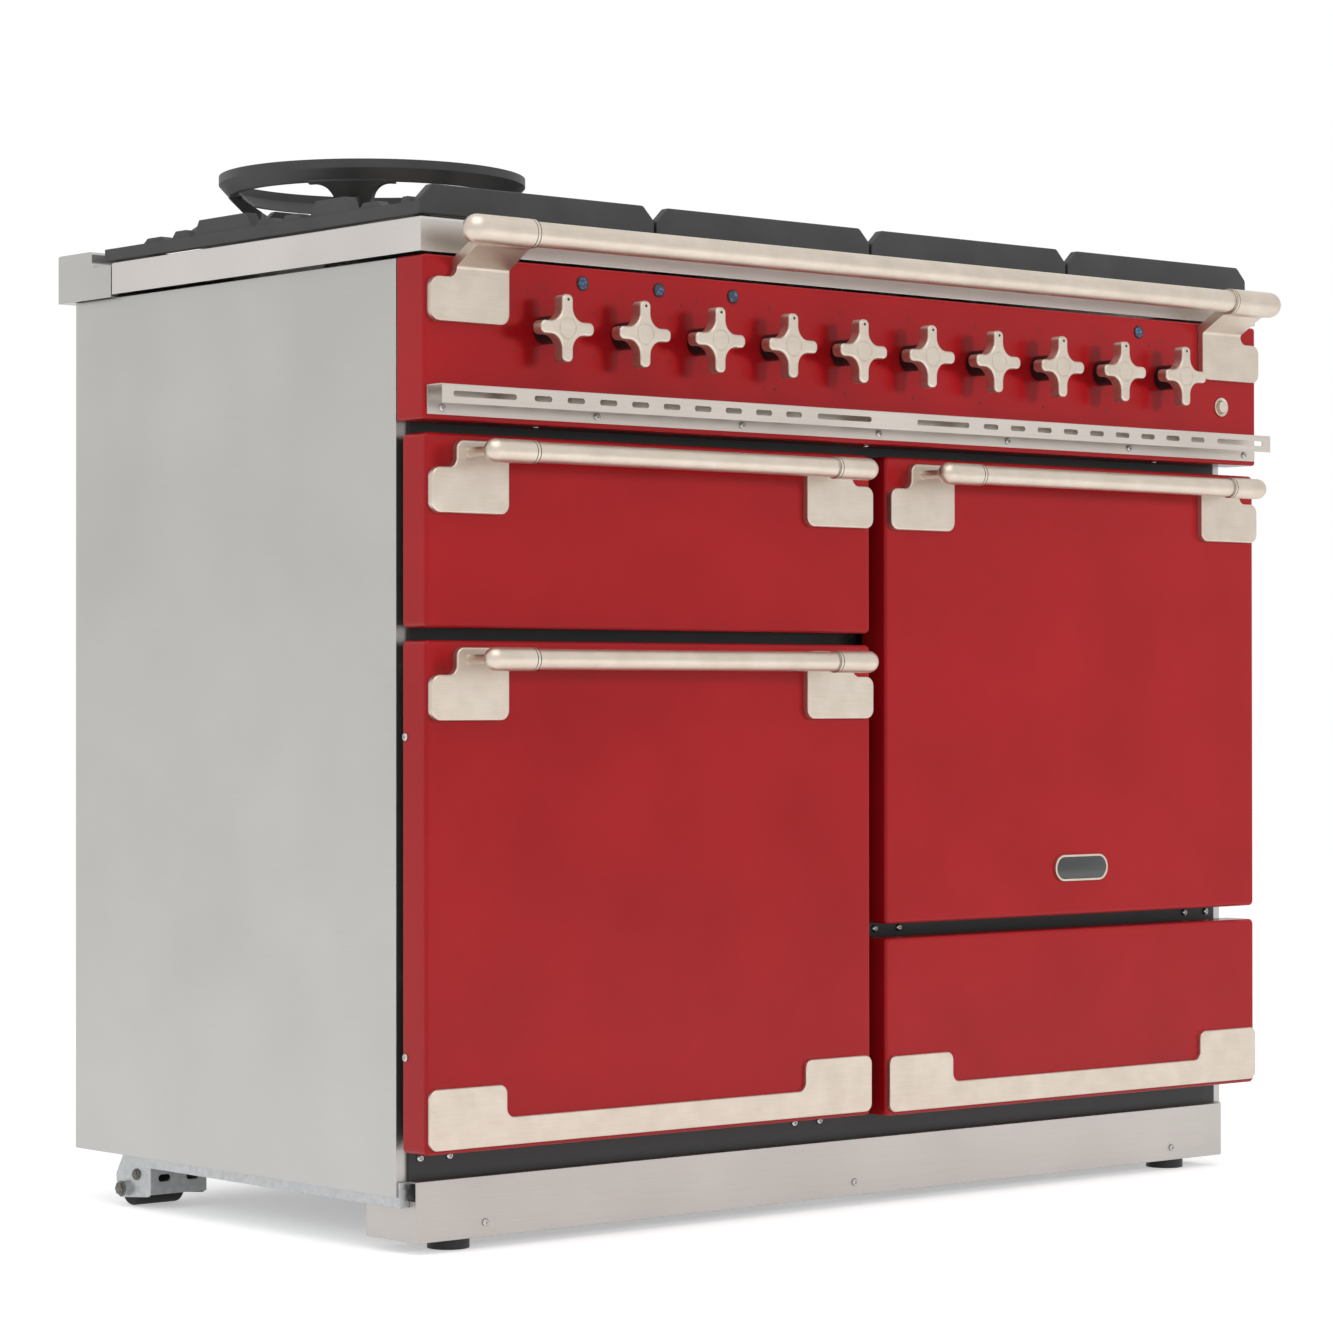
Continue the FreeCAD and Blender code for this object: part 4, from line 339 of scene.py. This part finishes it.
glass_braid, tree, shader, place = start("woven_glass_fibre_seal", IOR=1.45)
yarn = {"Scale": per_mm(1.6) / 6.283, "Distortion": 0.6}
warp = add(tree, "TexWave", yarn, {"Vector": place}, bands_direction="DIAGONAL").outputs["Fac"]
turned = stretched(tree, place, -1.0, 1.0, 1.0)
weft = add(tree, "TexWave", yarn, {"Vector": turned}, bands_direction="DIAGONAL").outputs["Fac"]
braid = add(tree, "Math", {0: 0.5}, None, operation="MULTIPLY")
tree.links.new(warp, braid.inputs[0])
tree.links.new(weft, braid.inputs[1])
tree.links.new(between(tree, braid.outputs[0], "#1b1b1b", "#4a4844", 0.1, 0.9), shader.inputs["Base Color"])
roughen(tree, shader, braid.outputs[0], 0.9, 0.7)
emboss(tree, shader, braid.outputs[0], 0.6, 0.4)
print(roller_rubber.name, black_nylon.name, blue_acrylic.name, glass_braid.name)

# %% [markdown]
# ## Give every node its finish
# Each CAD node keeps its mesh and gets the finish of the real piece. A list by finish is easy to
# read, and the last line prints any node that was forgotten.

# %% Give every node its finish
finishes = {
    cherry_enamel: ["grill_panel", "left_door_panel", "right_door_panel", "drawer_panel", "control_fascia"],
    side_steel: ["side_panels", "rear_vent"],
    trim_steel: ["hob_plate"],
    plinth_steel: ["plinth"],
    guard_steel: ["slotted_guard"],
    satin_nickel: ["grill_handle", "left_door_handle", "right_door_handle", "left_door_trim", "drawer_trim",
                   "hob_rail", "badge_plate", "ignition_bezel", "ignition_button"],
    knob_nickel: [n for n in nodes if n.endswith("_knob") or n.startswith("burner_knob")],
    cast_iron: ["wok_ring"] + [n for n in nodes if n.startswith("pan_support")],
    zinc: ["base_frame", "rear_cover", "roller_brackets", "slide_runners", "gas_rail", "fan_motors"],
    black_enamel: ["front_frame", "left_door_liner", "right_door_liner", "grill_carriage", "drawer_box"],
    flecked_enamel: ["oven_liners", "grill_chamber", "grill_pan"],
    chrome: ["screws", "oven_racks", "heating_elements"],
    cast_aluminium: ["left_oven_fan", "right_oven_fan"],
    burner_castings: ["burners"],
    tap_brass: ["gas_taps"],
    roller_rubber: ["rear_rollers"],
    black_nylon: ["front_feet", "oven_switches"],
    blue_acrylic: ["indicator_lenses"],
    glass_braid: ["oven_seals"],
}


def give(piece, material):
    """Put one material on a piece."""
    if not piece.data.materials:
        piece.data.materials.append(material)
    for slot in piece.material_slots:
        slot.material = material


for material, names in finishes.items():
    for name in names:
        give(nodes[name], material)
forgotten = sorted(set(nodes) - {n for names in finishes.values() for n in names})
print("without a finish:", forgotten)

# %% [markdown]
# ## Helpers for the small pieces
# The rest is modelled by hand. An operator works on all that is selected, so everything is
# deselected first, and faces are then picked by their place or normal. A piece that repeats is
# modelled once at the origin, pointing up, and each copy gets its own mesh, moved to its place.
# Pieces on the front are turned to point at -Y.

# %% Modelling helpers
def begin():
    """Nothing selected."""
    bpy.ops.object.select_all(action="DESELECT")


def pick(piece, test, kind="FACE"):
    """Enter edit mode with only the faces, edges or points selected for which test holds.

    A face is tested by its centre and normal, an edge by its two ends and a point by its place.
    """
    bpy.ops.object.mode_set(mode="EDIT")
    bpy.ops.mesh.select_mode(type=kind)
    bpy.ops.mesh.select_all(action="DESELECT")
    bpy.ops.object.mode_set(mode="OBJECT")
    points = piece.data.vertices
    if kind == "FACE":
        parts = [(face, (face.center, face.normal)) for face in piece.data.polygons]
    elif kind == "EDGE":
        parts = [(edge, [points[i].co for i in edge.vertices]) for edge in piece.data.edges]
    else:
        parts = [(point, [point.co]) for point in points]
    for part, values in parts:
        part.select = test(*values)
    bpy.ops.object.mode_set(mode="EDIT")


def extrude(offset, size=1.0):
    """Extrude the picked faces by an offset and scale their outline."""
    bpy.ops.mesh.extrude_region_move(TRANSFORM_OT_translate={"value": offset})
    bpy.ops.transform.resize(value=(size, size, size))


def modify(piece, kind, **settings):
    """Add a modifier and apply it."""
    bpy.ops.object.mode_set(mode="OBJECT")
    bpy.context.view_layer.objects.active = piece
    modifier = piece.modifiers.new(kind.lower(), kind)
    for name, value in settings.items():
        setattr(modifier, name, value)
    bpy.ops.object.modifier_apply(modifier=modifier.name)


def settle(piece):
    """Put the object's turn, scale and place into its mesh."""
    if piece.mode == "EDIT":
        bpy.ops.object.mode_set(mode="OBJECT")
    begin()
    piece.select_set(True)
    bpy.context.view_layer.objects.active = piece
    bpy.ops.object.transform_apply(location=True, rotation=True, scale=True)
    bpy.ops.object.shade_smooth_by_angle(angle=math.radians(35))


def copy_to(piece, move):
    """Copy with its own mesh, moved by a matrix."""
    twin = piece.copy()
    twin.data = piece.data.copy()
    twin.data.transform(move)
    bpy.context.scene.collection.objects.link(twin)
    return twin


def gather(pieces, name):
    """Join pieces into one object."""
    begin()
    for piece in pieces:
        piece.select_set(True)
    bpy.context.view_layer.objects.active = pieces[0]
    if len(pieces) > 1:
        bpy.ops.object.join()
    pieces[0].name = name
    return pieces[0]


def fit(piece, material, body):
    """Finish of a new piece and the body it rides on."""
    give(piece, material)
    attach(piece, body)


def drop(piece):
    """Remove the model that the copies were made from."""
    bpy.data.objects.remove(piece, do_unlink=True)


def solid_boxes(name):
    """Lowest and highest corner of each separate solid of a CAD node, measured on a merged copy."""
    begin()
    twin = copy_to(nodes[name], Matrix.Identity(4))
    twin.parent = None
    twin.select_set(True)
    bpy.context.view_layer.objects.active = twin
    bpy.ops.object.mode_set(mode="EDIT")
    bpy.ops.mesh.select_all(action="SELECT")
    bpy.ops.mesh.remove_doubles(threshold=0.01 * MM)
    bpy.ops.mesh.separate(type="LOOSE")
    bpy.ops.object.mode_set(mode="OBJECT")
    boxes = []
    for part in list(bpy.context.selected_objects):
        corners = [[v.co[axis] for v in part.data.vertices] for axis in range(3)]
        boxes.append((Vector([min(c) for c in corners]), Vector([max(c) for c in corners])))
        drop(part)
    return sorted(boxes, key=lambda box: (round(box[0].x, 4), round(box[0].y, 4)))


facing_front = Matrix.Rotation(math.radians(90), 4, "X")
facing_left = Matrix.Rotation(math.radians(-90), 4, "Y")
facing_down = Matrix.Rotation(math.radians(180), 4, "X")
print("screws in the CAD node:", len(solid_boxes("screws")))

# %% [markdown]
# ## Pan-head screws
# The guard, the plinth and the frame show pan-head screws with a cross recess. The head is a
# low cylinder whose top is drawn in and rounded. Two thin blocks cut the cross. The CAD screws have
# plain heads, so these take their place, one on each.

# %% Pan-head screws
begin()
bpy.ops.mesh.primitive_cylinder_add(vertices=24, radius=3.5 * MM, depth=1.2 * MM, location=(0, 0, 0.6 * MM))
screw = bpy.context.object
pick(screw, lambda centre, normal: normal.z > 0.9)
extrude((0, 0, 0.8 * MM), 0.68)
pick(screw, lambda centre, normal: normal.z < -0.9)
bpy.ops.mesh.inset(thickness=2.0 * MM)
extrude((0, 0, -5.9 * MM))
modify(screw, "BEVEL", width=0.25 * MM, segments=2, limit_method="ANGLE")
for angle in (0, 90):
    begin()
    bpy.ops.mesh.primitive_cube_add(size=1.0, location=(0, 0, 2.0 * MM), rotation=(0, 0, math.radians(angle)),
                                    scale=(3.6 * MM, 0.9 * MM, 1.8 * MM))
    blade = bpy.context.object
    modify(screw, "BOOLEAN", operation="DIFFERENCE", object=blade)
    drop(blade)
settle(screw)

new_screws = []
for low, high in solid_boxes("screws"):
    middle = (low + high) / 2
    if high.z - low.z > 7.5 * MM:
        head = Matrix.Translation((middle.x, middle.y, low.z + 2 * MM)) @ facing_down
    else:
        head = Matrix.Translation((middle.x, low.y + 2 * MM, middle.z)) @ facing_front
    new_screws.append(copy_to(screw, head @ Matrix.Rotation(0.5 * len(new_screws), 4, "Z")))
cabinet_screws = gather(new_screws, "cross_head_screws")
fit(cabinet_screws, chrome, "cabinet")
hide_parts("screws")
print("screws", len(new_screws))

# %% [markdown]
# ## Screws in the side of the left door
# Two more screws close the side wall of the left door. They point at -X and swing with the door.

# %% Door side screws
door_low = Vector(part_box("left_door_panel")[0])
setback = 29.5 * MM  # from the face of the door back to the screws
side_screws = [copy_to(screw, Matrix.Translation((door_low.x, door_low.y + setback, height)) @ facing_left)
               for height in (454.6 * MM, 174.7 * MM)]
door_side_screws = gather(side_screws, "door_side_screws")
fit(door_side_screws, chrome, "left_door")
print("door screws", [round(v, 4) for v in door_low])

# %% [markdown]
# ## Inside of the oven doors
# A shallow pressing stiffens the inner sheet of each door: a raised field with rounded corners and a
# sunk middle. It starts as a thin block inside the line of the seal. Its four short edges are
# bevelled into corners, and its back face is inset and moved twice. Four screws hold the sheet.

# %% Inside of the oven doors
facing_back = Matrix.Rotation(math.radians(-90), 4, "X")


def inner_pressing(seal, face_y):
    """Raised field inside the line of a door seal, on an inner door whose back face is at face_y."""
    middle = (seal[0] + seal[1]) / 2
    size = seal[1] - seal[0]
    margin, corner_radius = 27 * MM, 38 * MM
    begin()
    bpy.ops.mesh.primitive_cube_add(size=1.0, location=(middle.x, face_y + 1.0 * MM, middle.z),
                                    scale=(size.x - 2 * margin, 2.0 * MM, size.z - 2 * margin))
    field = bpy.context.object
    settle(field)
    pick(field, lambda first, second: abs(first.y - second.y) > 1.0 * MM, "EDGE")
    bpy.ops.mesh.bevel(offset=corner_radius, segments=8, affect="EDGES")
    # The insets together stay under the corner radius, or the corners would fold.
    for thickness, rise in ((8, 1.5), (16, 0.0), (5, -1.4)):
        pick(field, lambda centre, normal: normal.y > 0.9 and (centre - middle).xz.length < 5 * MM)
        bpy.ops.mesh.inset(thickness=thickness * MM)
        bpy.ops.transform.translate(value=(0, rise * MM, 0))
    modify(field, "BEVEL", width=0.5 * MM, segments=2, limit_method="ANGLE")
    settle(field)
    return field


seal_boxes = solid_boxes("oven_seals")
for body, seal in (("left_door", seal_boxes[0]), ("right_door", seal_boxes[-1])):
    low, high = [Vector(corner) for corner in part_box(body + "_liner")]
    field = inner_pressing(seal, high.y)
    field.name = body + "_inner_pressing"
    fit(field, flecked_enamel, body)
    spots = [(x, z) for x in (low.x + 18 * MM, high.x - 18 * MM)
             for z in (low.z + 150 * MM, high.z - 22 * MM)]
    heads = [copy_to(screw, Matrix.Translation((x, high.y, z)) @ facing_back) for x, z in spots]
    fit(gather(heads, body + "_liner_screws"), chrome, body)
    print(field.name, [round(v * 1000, 1) for v in field.dimensions])
drop(screw)

# %% [markdown]
# ## Rings: lens rims and painted groove shade at the joints
# Each indicator lens sits in a thin black rim. On the handles and on the hob rail, dark bands are painted
# shade:
# they stand for the shaded groove where the cast end meets the bar, and for a turned groove beside it, though
# they sit a hair proud of the cast end. All of them are thin bands: an open cylinder that gets a wall and
# rounded edges.

# %% Rings
def band(radius, wall, width):
    """Thin round band about Z, its outer radius given."""
    begin()
    bpy.ops.mesh.primitive_cylinder_add(vertices=48, radius=radius - wall / 2, depth=width,
                                        end_fill_type="NOTHING")
    ring = bpy.context.object
    modify(ring, "SOLIDIFY", thickness=wall, offset=0.0)
    modify(ring, "BEVEL", width=min(wall, width) * 0.3, segments=2, limit_method="ANGLE")
    settle(ring)
    return ring


rim = band(6.5 * MM, 1.1 * MM, 1.2 * MM)
rim_y = -0.2684  # middle of the rims along Y, just in front of the fascia's face
rims = []
for low, high in solid_boxes("indicator_lenses"):
    middle = (low + high) / 2
    rims.append(copy_to(rim, Matrix.Translation((middle.x, rim_y, middle.z)) @ facing_front))
drop(rim)
lens_rims = gather(rims, "indicator_lens_rims")
fit(lens_rims, black_nylon, "cabinet")

# Dark nickel as painted shade: its colour stands for the shadow inside the joint grooves.
joint_shadow = small_metal("painted_groove_shade_in_nickel", "#2c2824", "#3d3732", 2.0, 0.6, 0.75, 0.01)
along_bar = Matrix.Rotation(math.radians(90), 4, "Y")


def painted_groove_shade_bands(node, body, end_radius, joint_inset, axis_z):
    """Two dark bands of painted groove shade beside each joint of a bar. The joint is joint_inset in from the
    end of the node.
    """
    low, high = [Vector(corner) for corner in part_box(node)]
    ring = band(end_radius + 0.05 * MM, 0.4 * MM, 0.9 * MM)
    lines = []
    for side, end in ((-1, low.x), (1, high.x)):
        for outwards in (0.6 * MM, 4.0 * MM):
            spot = (end - side * (joint_inset - outwards), low.y + end_radius, axis_z)
            lines.append(copy_to(ring, Matrix.Translation(spot) @ along_bar))
    drop(ring)
    piece = gather(lines, node + "_painted_groove_shade_bands")
    fit(piece, joint_shadow, body)
    print(piece.name, [round(v, 4) for v in low], [round(v, 4) for v in high])


handle_drop, rail_drop = 16.5 * MM, 13.5 * MM  # from the top of the panel or the trim to the bar's axis
for front in ("grill", "left_door", "right_door"):
    handle_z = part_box(front + "_panel")[1][2] - handle_drop
    painted_groove_shade_bands(front + "_handle", front, end_radius=10.4 * MM, joint_inset=85.0 * MM, axis_z=handle_z)
rail_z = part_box("hob_plate")[1][2] - rail_drop
painted_groove_shade_bands("hob_rail", "cabinet", end_radius=13.0 * MM, joint_inset=85.6 * MM, axis_z=rail_z)

# %% [markdown]
# ## Index dots on the knobs
# A small dot near the tip of the upper arm shows where the knob points: a drilled hole filled with
# black, which stands a tenth of a millimetre proud and is domed by the filler's shrinking.

# %% Index dots
begin()
bpy.ops.mesh.primitive_cylinder_add(vertices=16, radius=1.4 * MM, depth=0.5 * MM, location=(0, 0, -0.15 * MM))
dot = bpy.context.object
pick(dot, lambda centre, normal: normal.z > 0.9)
bpy.ops.mesh.inset(thickness=0.5 * MM)
bpy.ops.transform.translate(value=(0, 0, 0.06 * MM))
modify(dot, "BEVEL", width=0.06 * MM, segments=2, limit_method="ANGLE")
settle(dot)
knob_names = sorted((n for n in nodes if n.endswith("_knob") or n.startswith("burner_knob")),
                    key=lambda n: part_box(n)[0][0])
knob_axes = {}
arm_reach = 25.3 * MM  # from a knob's axis to its dot
for name in knob_names:
    low, high = [Vector(corner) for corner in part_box(name)]
    knob_axes[name] = Vector(((low.x + high.x) / 2, low.y, (low.z + high.z) / 2))
    marker = copy_to(dot, Matrix.Translation(knob_axes[name] + Vector((0, 0, arm_reach))) @ facing_front)
    marker.name = name + "_index_dot"
    fit(marker, black_nylon, name + "_turn")
drop(dot)
print("knob axes", {name: round(axis.x, 4) for name, axis in knob_axes.items()})

# %% [markdown]
# ## Dial marks
# The scales are screen printed in a darker enamel and fired with the red, so that they can't be
# wiped off and show only faintly. An oven knob has a scale of short strokes over three quarters of a
# turn. A burner knob has one stroke for off and two dots, large and small, for the flame. The marks
# are generic. Each is a thin lozenge with rounded ends, a twentieth of a millimetre proud.

# %% Dial marks
fired_print = moulded("fired_dark_red_print", "#33080a", "#420c0e", 1.5, 0.35, 0.5, 0.005)


def printed(width, height):
    """Flat mark about the origin, its face at -Y."""
    begin()
    bpy.ops.mesh.primitive_cylinder_add(vertices=16, radius=width / 2 * MM, depth=0.1 * MM)
    mark = bpy.context.object
    # Turned by half a side, so that no corner lies on the X axis.
    mark.data.transform(Matrix.Rotation(math.radians(180 / 16), 4, "Z"))
    for side in (-1, 1):
        pick(mark, lambda place: place.y * side > 0, "VERT")
        bpy.ops.transform.translate(value=(0, side * (height - width) / 2 * MM, 0))
    pick(mark, lambda centre, normal: normal.z > 0.9)
    bpy.ops.mesh.inset(thickness=0.1 * width * MM)
    bpy.ops.transform.translate(value=(0, 0, 0.02 * MM))
    bpy.ops.object.mode_set(mode="OBJECT")
    mark.data.transform(facing_front)
    return mark


stroke, large_dot, small_dot = printed(0.9, 4.4), printed(2.6, 2.7), printed(1.5, 1.6)
face_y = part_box("control_fascia")[0][1]
for name, axis in knob_axes.items():
    marks = []
    centre = Matrix.Translation((axis.x, face_y - 0.01 * MM, axis.z))
    if name.startswith("burner"):
        plan = [(stroke, 0, 38.0), (large_dot, 170, 38.5), (small_dot, 190, 38.5)]
    else:
        plan = [(stroke, 30 * i, 38.0) for i in range(-4, 5)]
    for model, angle, radius in plan:
        turn = Matrix.Rotation(math.radians(angle), 4, "Y")
        marks.append(copy_to(model, centre @ turn @ Matrix.Translation((0, 0, radius * MM))))
    scale = gather(marks, name + "_dial_marks")
    fit(scale, fired_print, "cabinet")
for model in (stroke, large_dot, small_dot):
    drop(model)
print("dial marks", len(knob_axes))

# %% [markdown]
# ## Badge inlay
# The badge is a nickel tray with a bare inlay of dark glossy enamel, domed a little where the enamel
# drew back from the rim as it cooled. It carries nothing: a smooth stadium is all there is.

# %% Badge inlay
badge_low, badge_high = [Vector(corner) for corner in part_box("badge_plate")]
tray_rim = 2.2 * MM
half_long = (badge_high.x - badge_low.x) / 2 - tray_rim
half_wide = (badge_high.z - badge_low.z) / 2 - tray_rim
begin()
bpy.ops.mesh.primitive_cylinder_add(vertices=64, radius=half_wide, depth=0.5 * MM)
inlay = bpy.context.object
# Turned by half a side, so that no corner lies on the Y axis.
inlay.data.transform(Matrix.Rotation(math.radians(180 / 64), 4, "Z"))
for side in (-1, 1):
    pick(inlay, lambda place: place.x * side > 0, "VERT")
    bpy.ops.transform.translate(value=(side * (half_long - half_wide), 0, 0))
pick(inlay, lambda centre, normal: normal.z > 0.9)
bpy.ops.mesh.inset(thickness=1.2 * MM)
bpy.ops.transform.translate(value=(0, 0, 0.25 * MM))
modify(inlay, "BEVEL", width=0.1 * MM, segments=2, limit_method="ANGLE")
badge_middle = (badge_low + badge_high) / 2
inlay_place = (badge_middle.x, badge_low.y + 0.75 * MM, badge_middle.z)
inlay.data.transform(Matrix.Translation(inlay_place) @ facing_front)
settle(inlay)
inlay.name = "badge_inlay"
inlay_enamel, tree, shader, place = start("dark_glossy_badge_enamel", IOR=1.52,
                                          Coat_Weight=0.5, Coat_Roughness=0.05)
cloud = add(tree, "TexNoise", {"Scale": per_mm(6), "Detail": 3.0}, {"Vector": place}).outputs["Fac"]
tree.links.new(between(tree, cloud, "#191b1c", "#232627"), shader.inputs["Base Color"])
roughen(tree, shader, cloud, 0.12, 0.22)
emboss(tree, shader, cloud, 0.1, 0.05)
fit(inlay, inlay_enamel, "right_door")
print("badge inlay", [round(v * 1000, 1) for v in inlay.dimensions])

# %% [markdown]
# ## Axle nuts of the rear rollers
# Outside each rear bracket a flanged hexagon nut, with the threaded end standing proud, closes the
# head of the roller's axle, and above it a second, smaller one holds the height adjuster.

# %% Axle nuts
dark_zinc = small_metal("oiled_zinc_plated_nut", "#56544f", "#7d7b75", 3.0, 0.3, 0.5, 0.03)


def flanged_nut(across, height):
    """Hexagon nut on its flange, with the end of the bolt in it."""
    begin()
    bpy.ops.mesh.primitive_cylinder_add(vertices=6, radius=across / 2 * MM, depth=height * MM,
                                        location=(0, 0, height / 2 * MM))
    nut = bpy.context.object
    pick(nut, lambda centre, normal: normal.z > 0.9)
    bpy.ops.mesh.inset(thickness=across * 0.2 * MM)
    extrude((0, 0, 0.6 * MM))
    modify(nut, "BEVEL", width=0.25 * MM, segments=2, limit_method="ANGLE")
    begin()
    bpy.ops.mesh.primitive_cylinder_add(vertices=32, radius=across * 0.62 * MM, depth=1.2 * MM,
                                        location=(0, 0, 0.6 * MM))
    flange = bpy.context.object
    pick(flange, lambda centre, normal: normal.z > 0.9)
    bpy.ops.mesh.inset(thickness=across * 0.1 * MM)
    bpy.ops.transform.translate(value=(0, 0, 0.3 * MM))
    modify(flange, "BEVEL", width=0.2 * MM, segments=2, limit_method="ANGLE")
    nut = gather([nut, flange], "flanged_nut")
    settle(nut)
    return nut


axle_nut, adjuster_nut = flanged_nut(12, 4.2), flanged_nut(9, 3.2)
roller_boxes = solid_boxes("rear_rollers")
bracket_boxes = solid_boxes("roller_brackets")
nuts = []
inboard, ahead, above = 4 * MM, 20 * MM, 15 * MM  # of the adjuster nut, from the axle nut
for side, roller, bracket in ((-1, roller_boxes[0], bracket_boxes[0]),
                              (1, roller_boxes[-1], bracket_boxes[-1])):
    outwards = Matrix.Rotation(math.radians(90 * side), 4, "Y")
    face = bracket[0].x if side < 0 else bracket[1].x
    axle = (roller[0] + roller[1]) / 2
    nuts.append(copy_to(axle_nut, Matrix.Translation((face, axle.y, axle.z)) @ outwards))
    adjuster = (face - side * inboard, axle.y - ahead, axle.z + above)
    nuts.append(copy_to(adjuster_nut, Matrix.Translation(adjuster) @ outwards))
drop(axle_nut)
drop(adjuster_nut)
axle_nuts = gather(nuts, "rear_roller_nuts")
fit(axle_nuts, dark_zinc, "cabinet")
print("nuts", len(nuts), "brackets", [[round(v, 4) for v in box[0]] for box in bracket_boxes])

# %% [markdown]
# ## Spark electrodes
# Beside each burner a white glazed ceramic post with a thin steel pin lights the gas. The post is a
# cylinder that is drawn in twice, and the pin is what is left in the middle. The pin is one mesh
# with the post and keeps its white: it is too small for the difference to count.

# %% Spark electrodes
glazed_ceramic = moulded("glazed_white_ceramic", "#d8d4cb", "#e6e3dc", 4.0, 0.15, 0.3, 0.01)
begin()
bpy.ops.mesh.primitive_cylinder_add(vertices=24, radius=3.2 * MM, depth=5.0 * MM, location=(0, 0, 2.5 * MM))
electrode = bpy.context.object
pick(electrode, lambda centre, normal: normal.z > 0.9)
bpy.ops.mesh.inset(thickness=0.9 * MM)
extrude((0, 0, 4.0 * MM), 0.9)
bpy.ops.mesh.inset(thickness=1.3 * MM)
extrude((0, 0, 2.5 * MM))
modify(electrode, "BEVEL", width=0.25 * MM, segments=2, limit_method="ANGLE")
settle(electrode)
hob_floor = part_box("hob_plate")[1][2] - 12 * MM
base_top = 0.9105  # a burner's body stays under this height, and its cap rises over it
beside = 6 * MM
posts = []
for low, high in solid_boxes("burners"):
    if high.z > base_top:
        continue
    middle, radius = (low + high) / 2, (high.y - low.y) / 2
    towards = Vector((0.6, -0.8, 0)) * (radius + beside)
    spot = (middle.x + towards.x, middle.y + towards.y, hob_floor)
    posts.append(copy_to(electrode, Matrix.Translation(spot)))
drop(electrode)
electrodes = gather(posts, "spark_electrodes")
fit(electrodes, glazed_ceramic, "cabinet")
print("electrodes", len(posts))

# %% [markdown]
# ## Floor, light and camera
# A white studio. Diffuse light comes from the world at a plain level and from three lamps: a softbox
# in front, a little to the right, which throws the shadows of the knobs and handles to the left, a
# fill from the left for the sides of the doors, and a large one overhead. The first two are kept out
# of reflections, so that the satin metal mirrors the even white room and the overhead lamp. Light
# Path makes the world pure white for the camera, for reflections and through glass. The floor gets a
# lift of its own there, on top of its shading, so it keeps the shadow.

# %% Light path switch
def seen_directly(tree):
    """1 for rays that show the background itself: from the camera, in a mirror or through glass."""
    paths = add(tree, "LightPath")
    first = add(tree, "Math", None, {0: paths.outputs["Is Camera Ray"], 1: paths.outputs["Is Glossy Ray"]},
                operation="MAXIMUM")
    return add(tree, "Math", None, {0: first.outputs[0], 1: paths.outputs["Is Transmission Ray"]},
               operation="MAXIMUM").outputs[0]


# %% Floor
begin()
bpy.ops.mesh.primitive_plane_add(size=60.0, location=(0, 0, -0.5 * MM))
floor = bpy.context.object
floor.name = "studio_floor"
studio_paper, tree, shader, place = start("white_studio_paper", Roughness=0.9)
shader.inputs["Base Color"].default_value = linear("#f4f4f4")
shader.inputs["Emission Color"].default_value = (1.0, 1.0, 1.0, 1.0)
lift = add(tree, "MapRange", {"To Min": 0.0, "To Max": 0.4}, {"Value": seen_directly(tree)})
tree.links.new(lift.outputs["Result"], shader.inputs["Emission Strength"])
give(floor, studio_paper)
print("floor", floor.name)

# %% World and lamps
world = bpy.data.worlds.new("studio_world")
bpy.context.scene.world = world
world.use_nodes = True
tree = world.node_tree
background = tree.nodes["Background"]
level = add(tree, "MapRange", {"To Min": 0.62, "To Max": 1.0}, {"Value": seen_directly(tree)})
background.inputs["Color"].default_value = (1.0, 1.0, 1.0, 1.0)
tree.links.new(level.outputs["Result"], background.inputs["Strength"])


def soft_lamp(name, place, target, size, power, mirrored):
    """Square area lamp that faces a point."""
    data = bpy.data.lights.new(name, "AREA")
    data.size = size
    data.energy = power
    lamp = bpy.data.objects.new(name, data)
    bpy.context.scene.collection.objects.link(lamp)
    lamp.location = place
    lamp.rotation_euler = (Vector(target) - Vector(place)).to_track_quat("-Z", "Y").to_euler()
    lamp.visible_glossy = mirrored


soft_lamp("front_softbox", (1.25, -3.3, 1.15), (0, 0, 0.6), 0.5, 46, False)
soft_lamp("side_fill", (-3.6, 0.2, 1.3), (0, 0, 0.5), 1.6, 32, False)
soft_lamp("overhead_softbox", (-1.2, -1.4, 3.6), (0, 0, 0.5), 3.4, 45, True)

# %% Camera
lens_data = bpy.data.cameras.new("studio_camera")
camera = bpy.data.objects.new("studio_camera", lens_data)
bpy.context.scene.collection.objects.link(camera)
camera.location = (-2.6280, -3.0249, 0.4871)
camera.rotation_euler = (math.radians(90.478), math.radians(0.037), math.radians(-40.578))
lens_data.sensor_width = 36.0
lens_data.lens = 107.41
lens_data.clip_end = 100.0
bpy.context.scene.camera = camera
bpy.context.scene.view_settings.view_transform = "Standard"
print("camera", [round(v, 4) for v in camera.location])
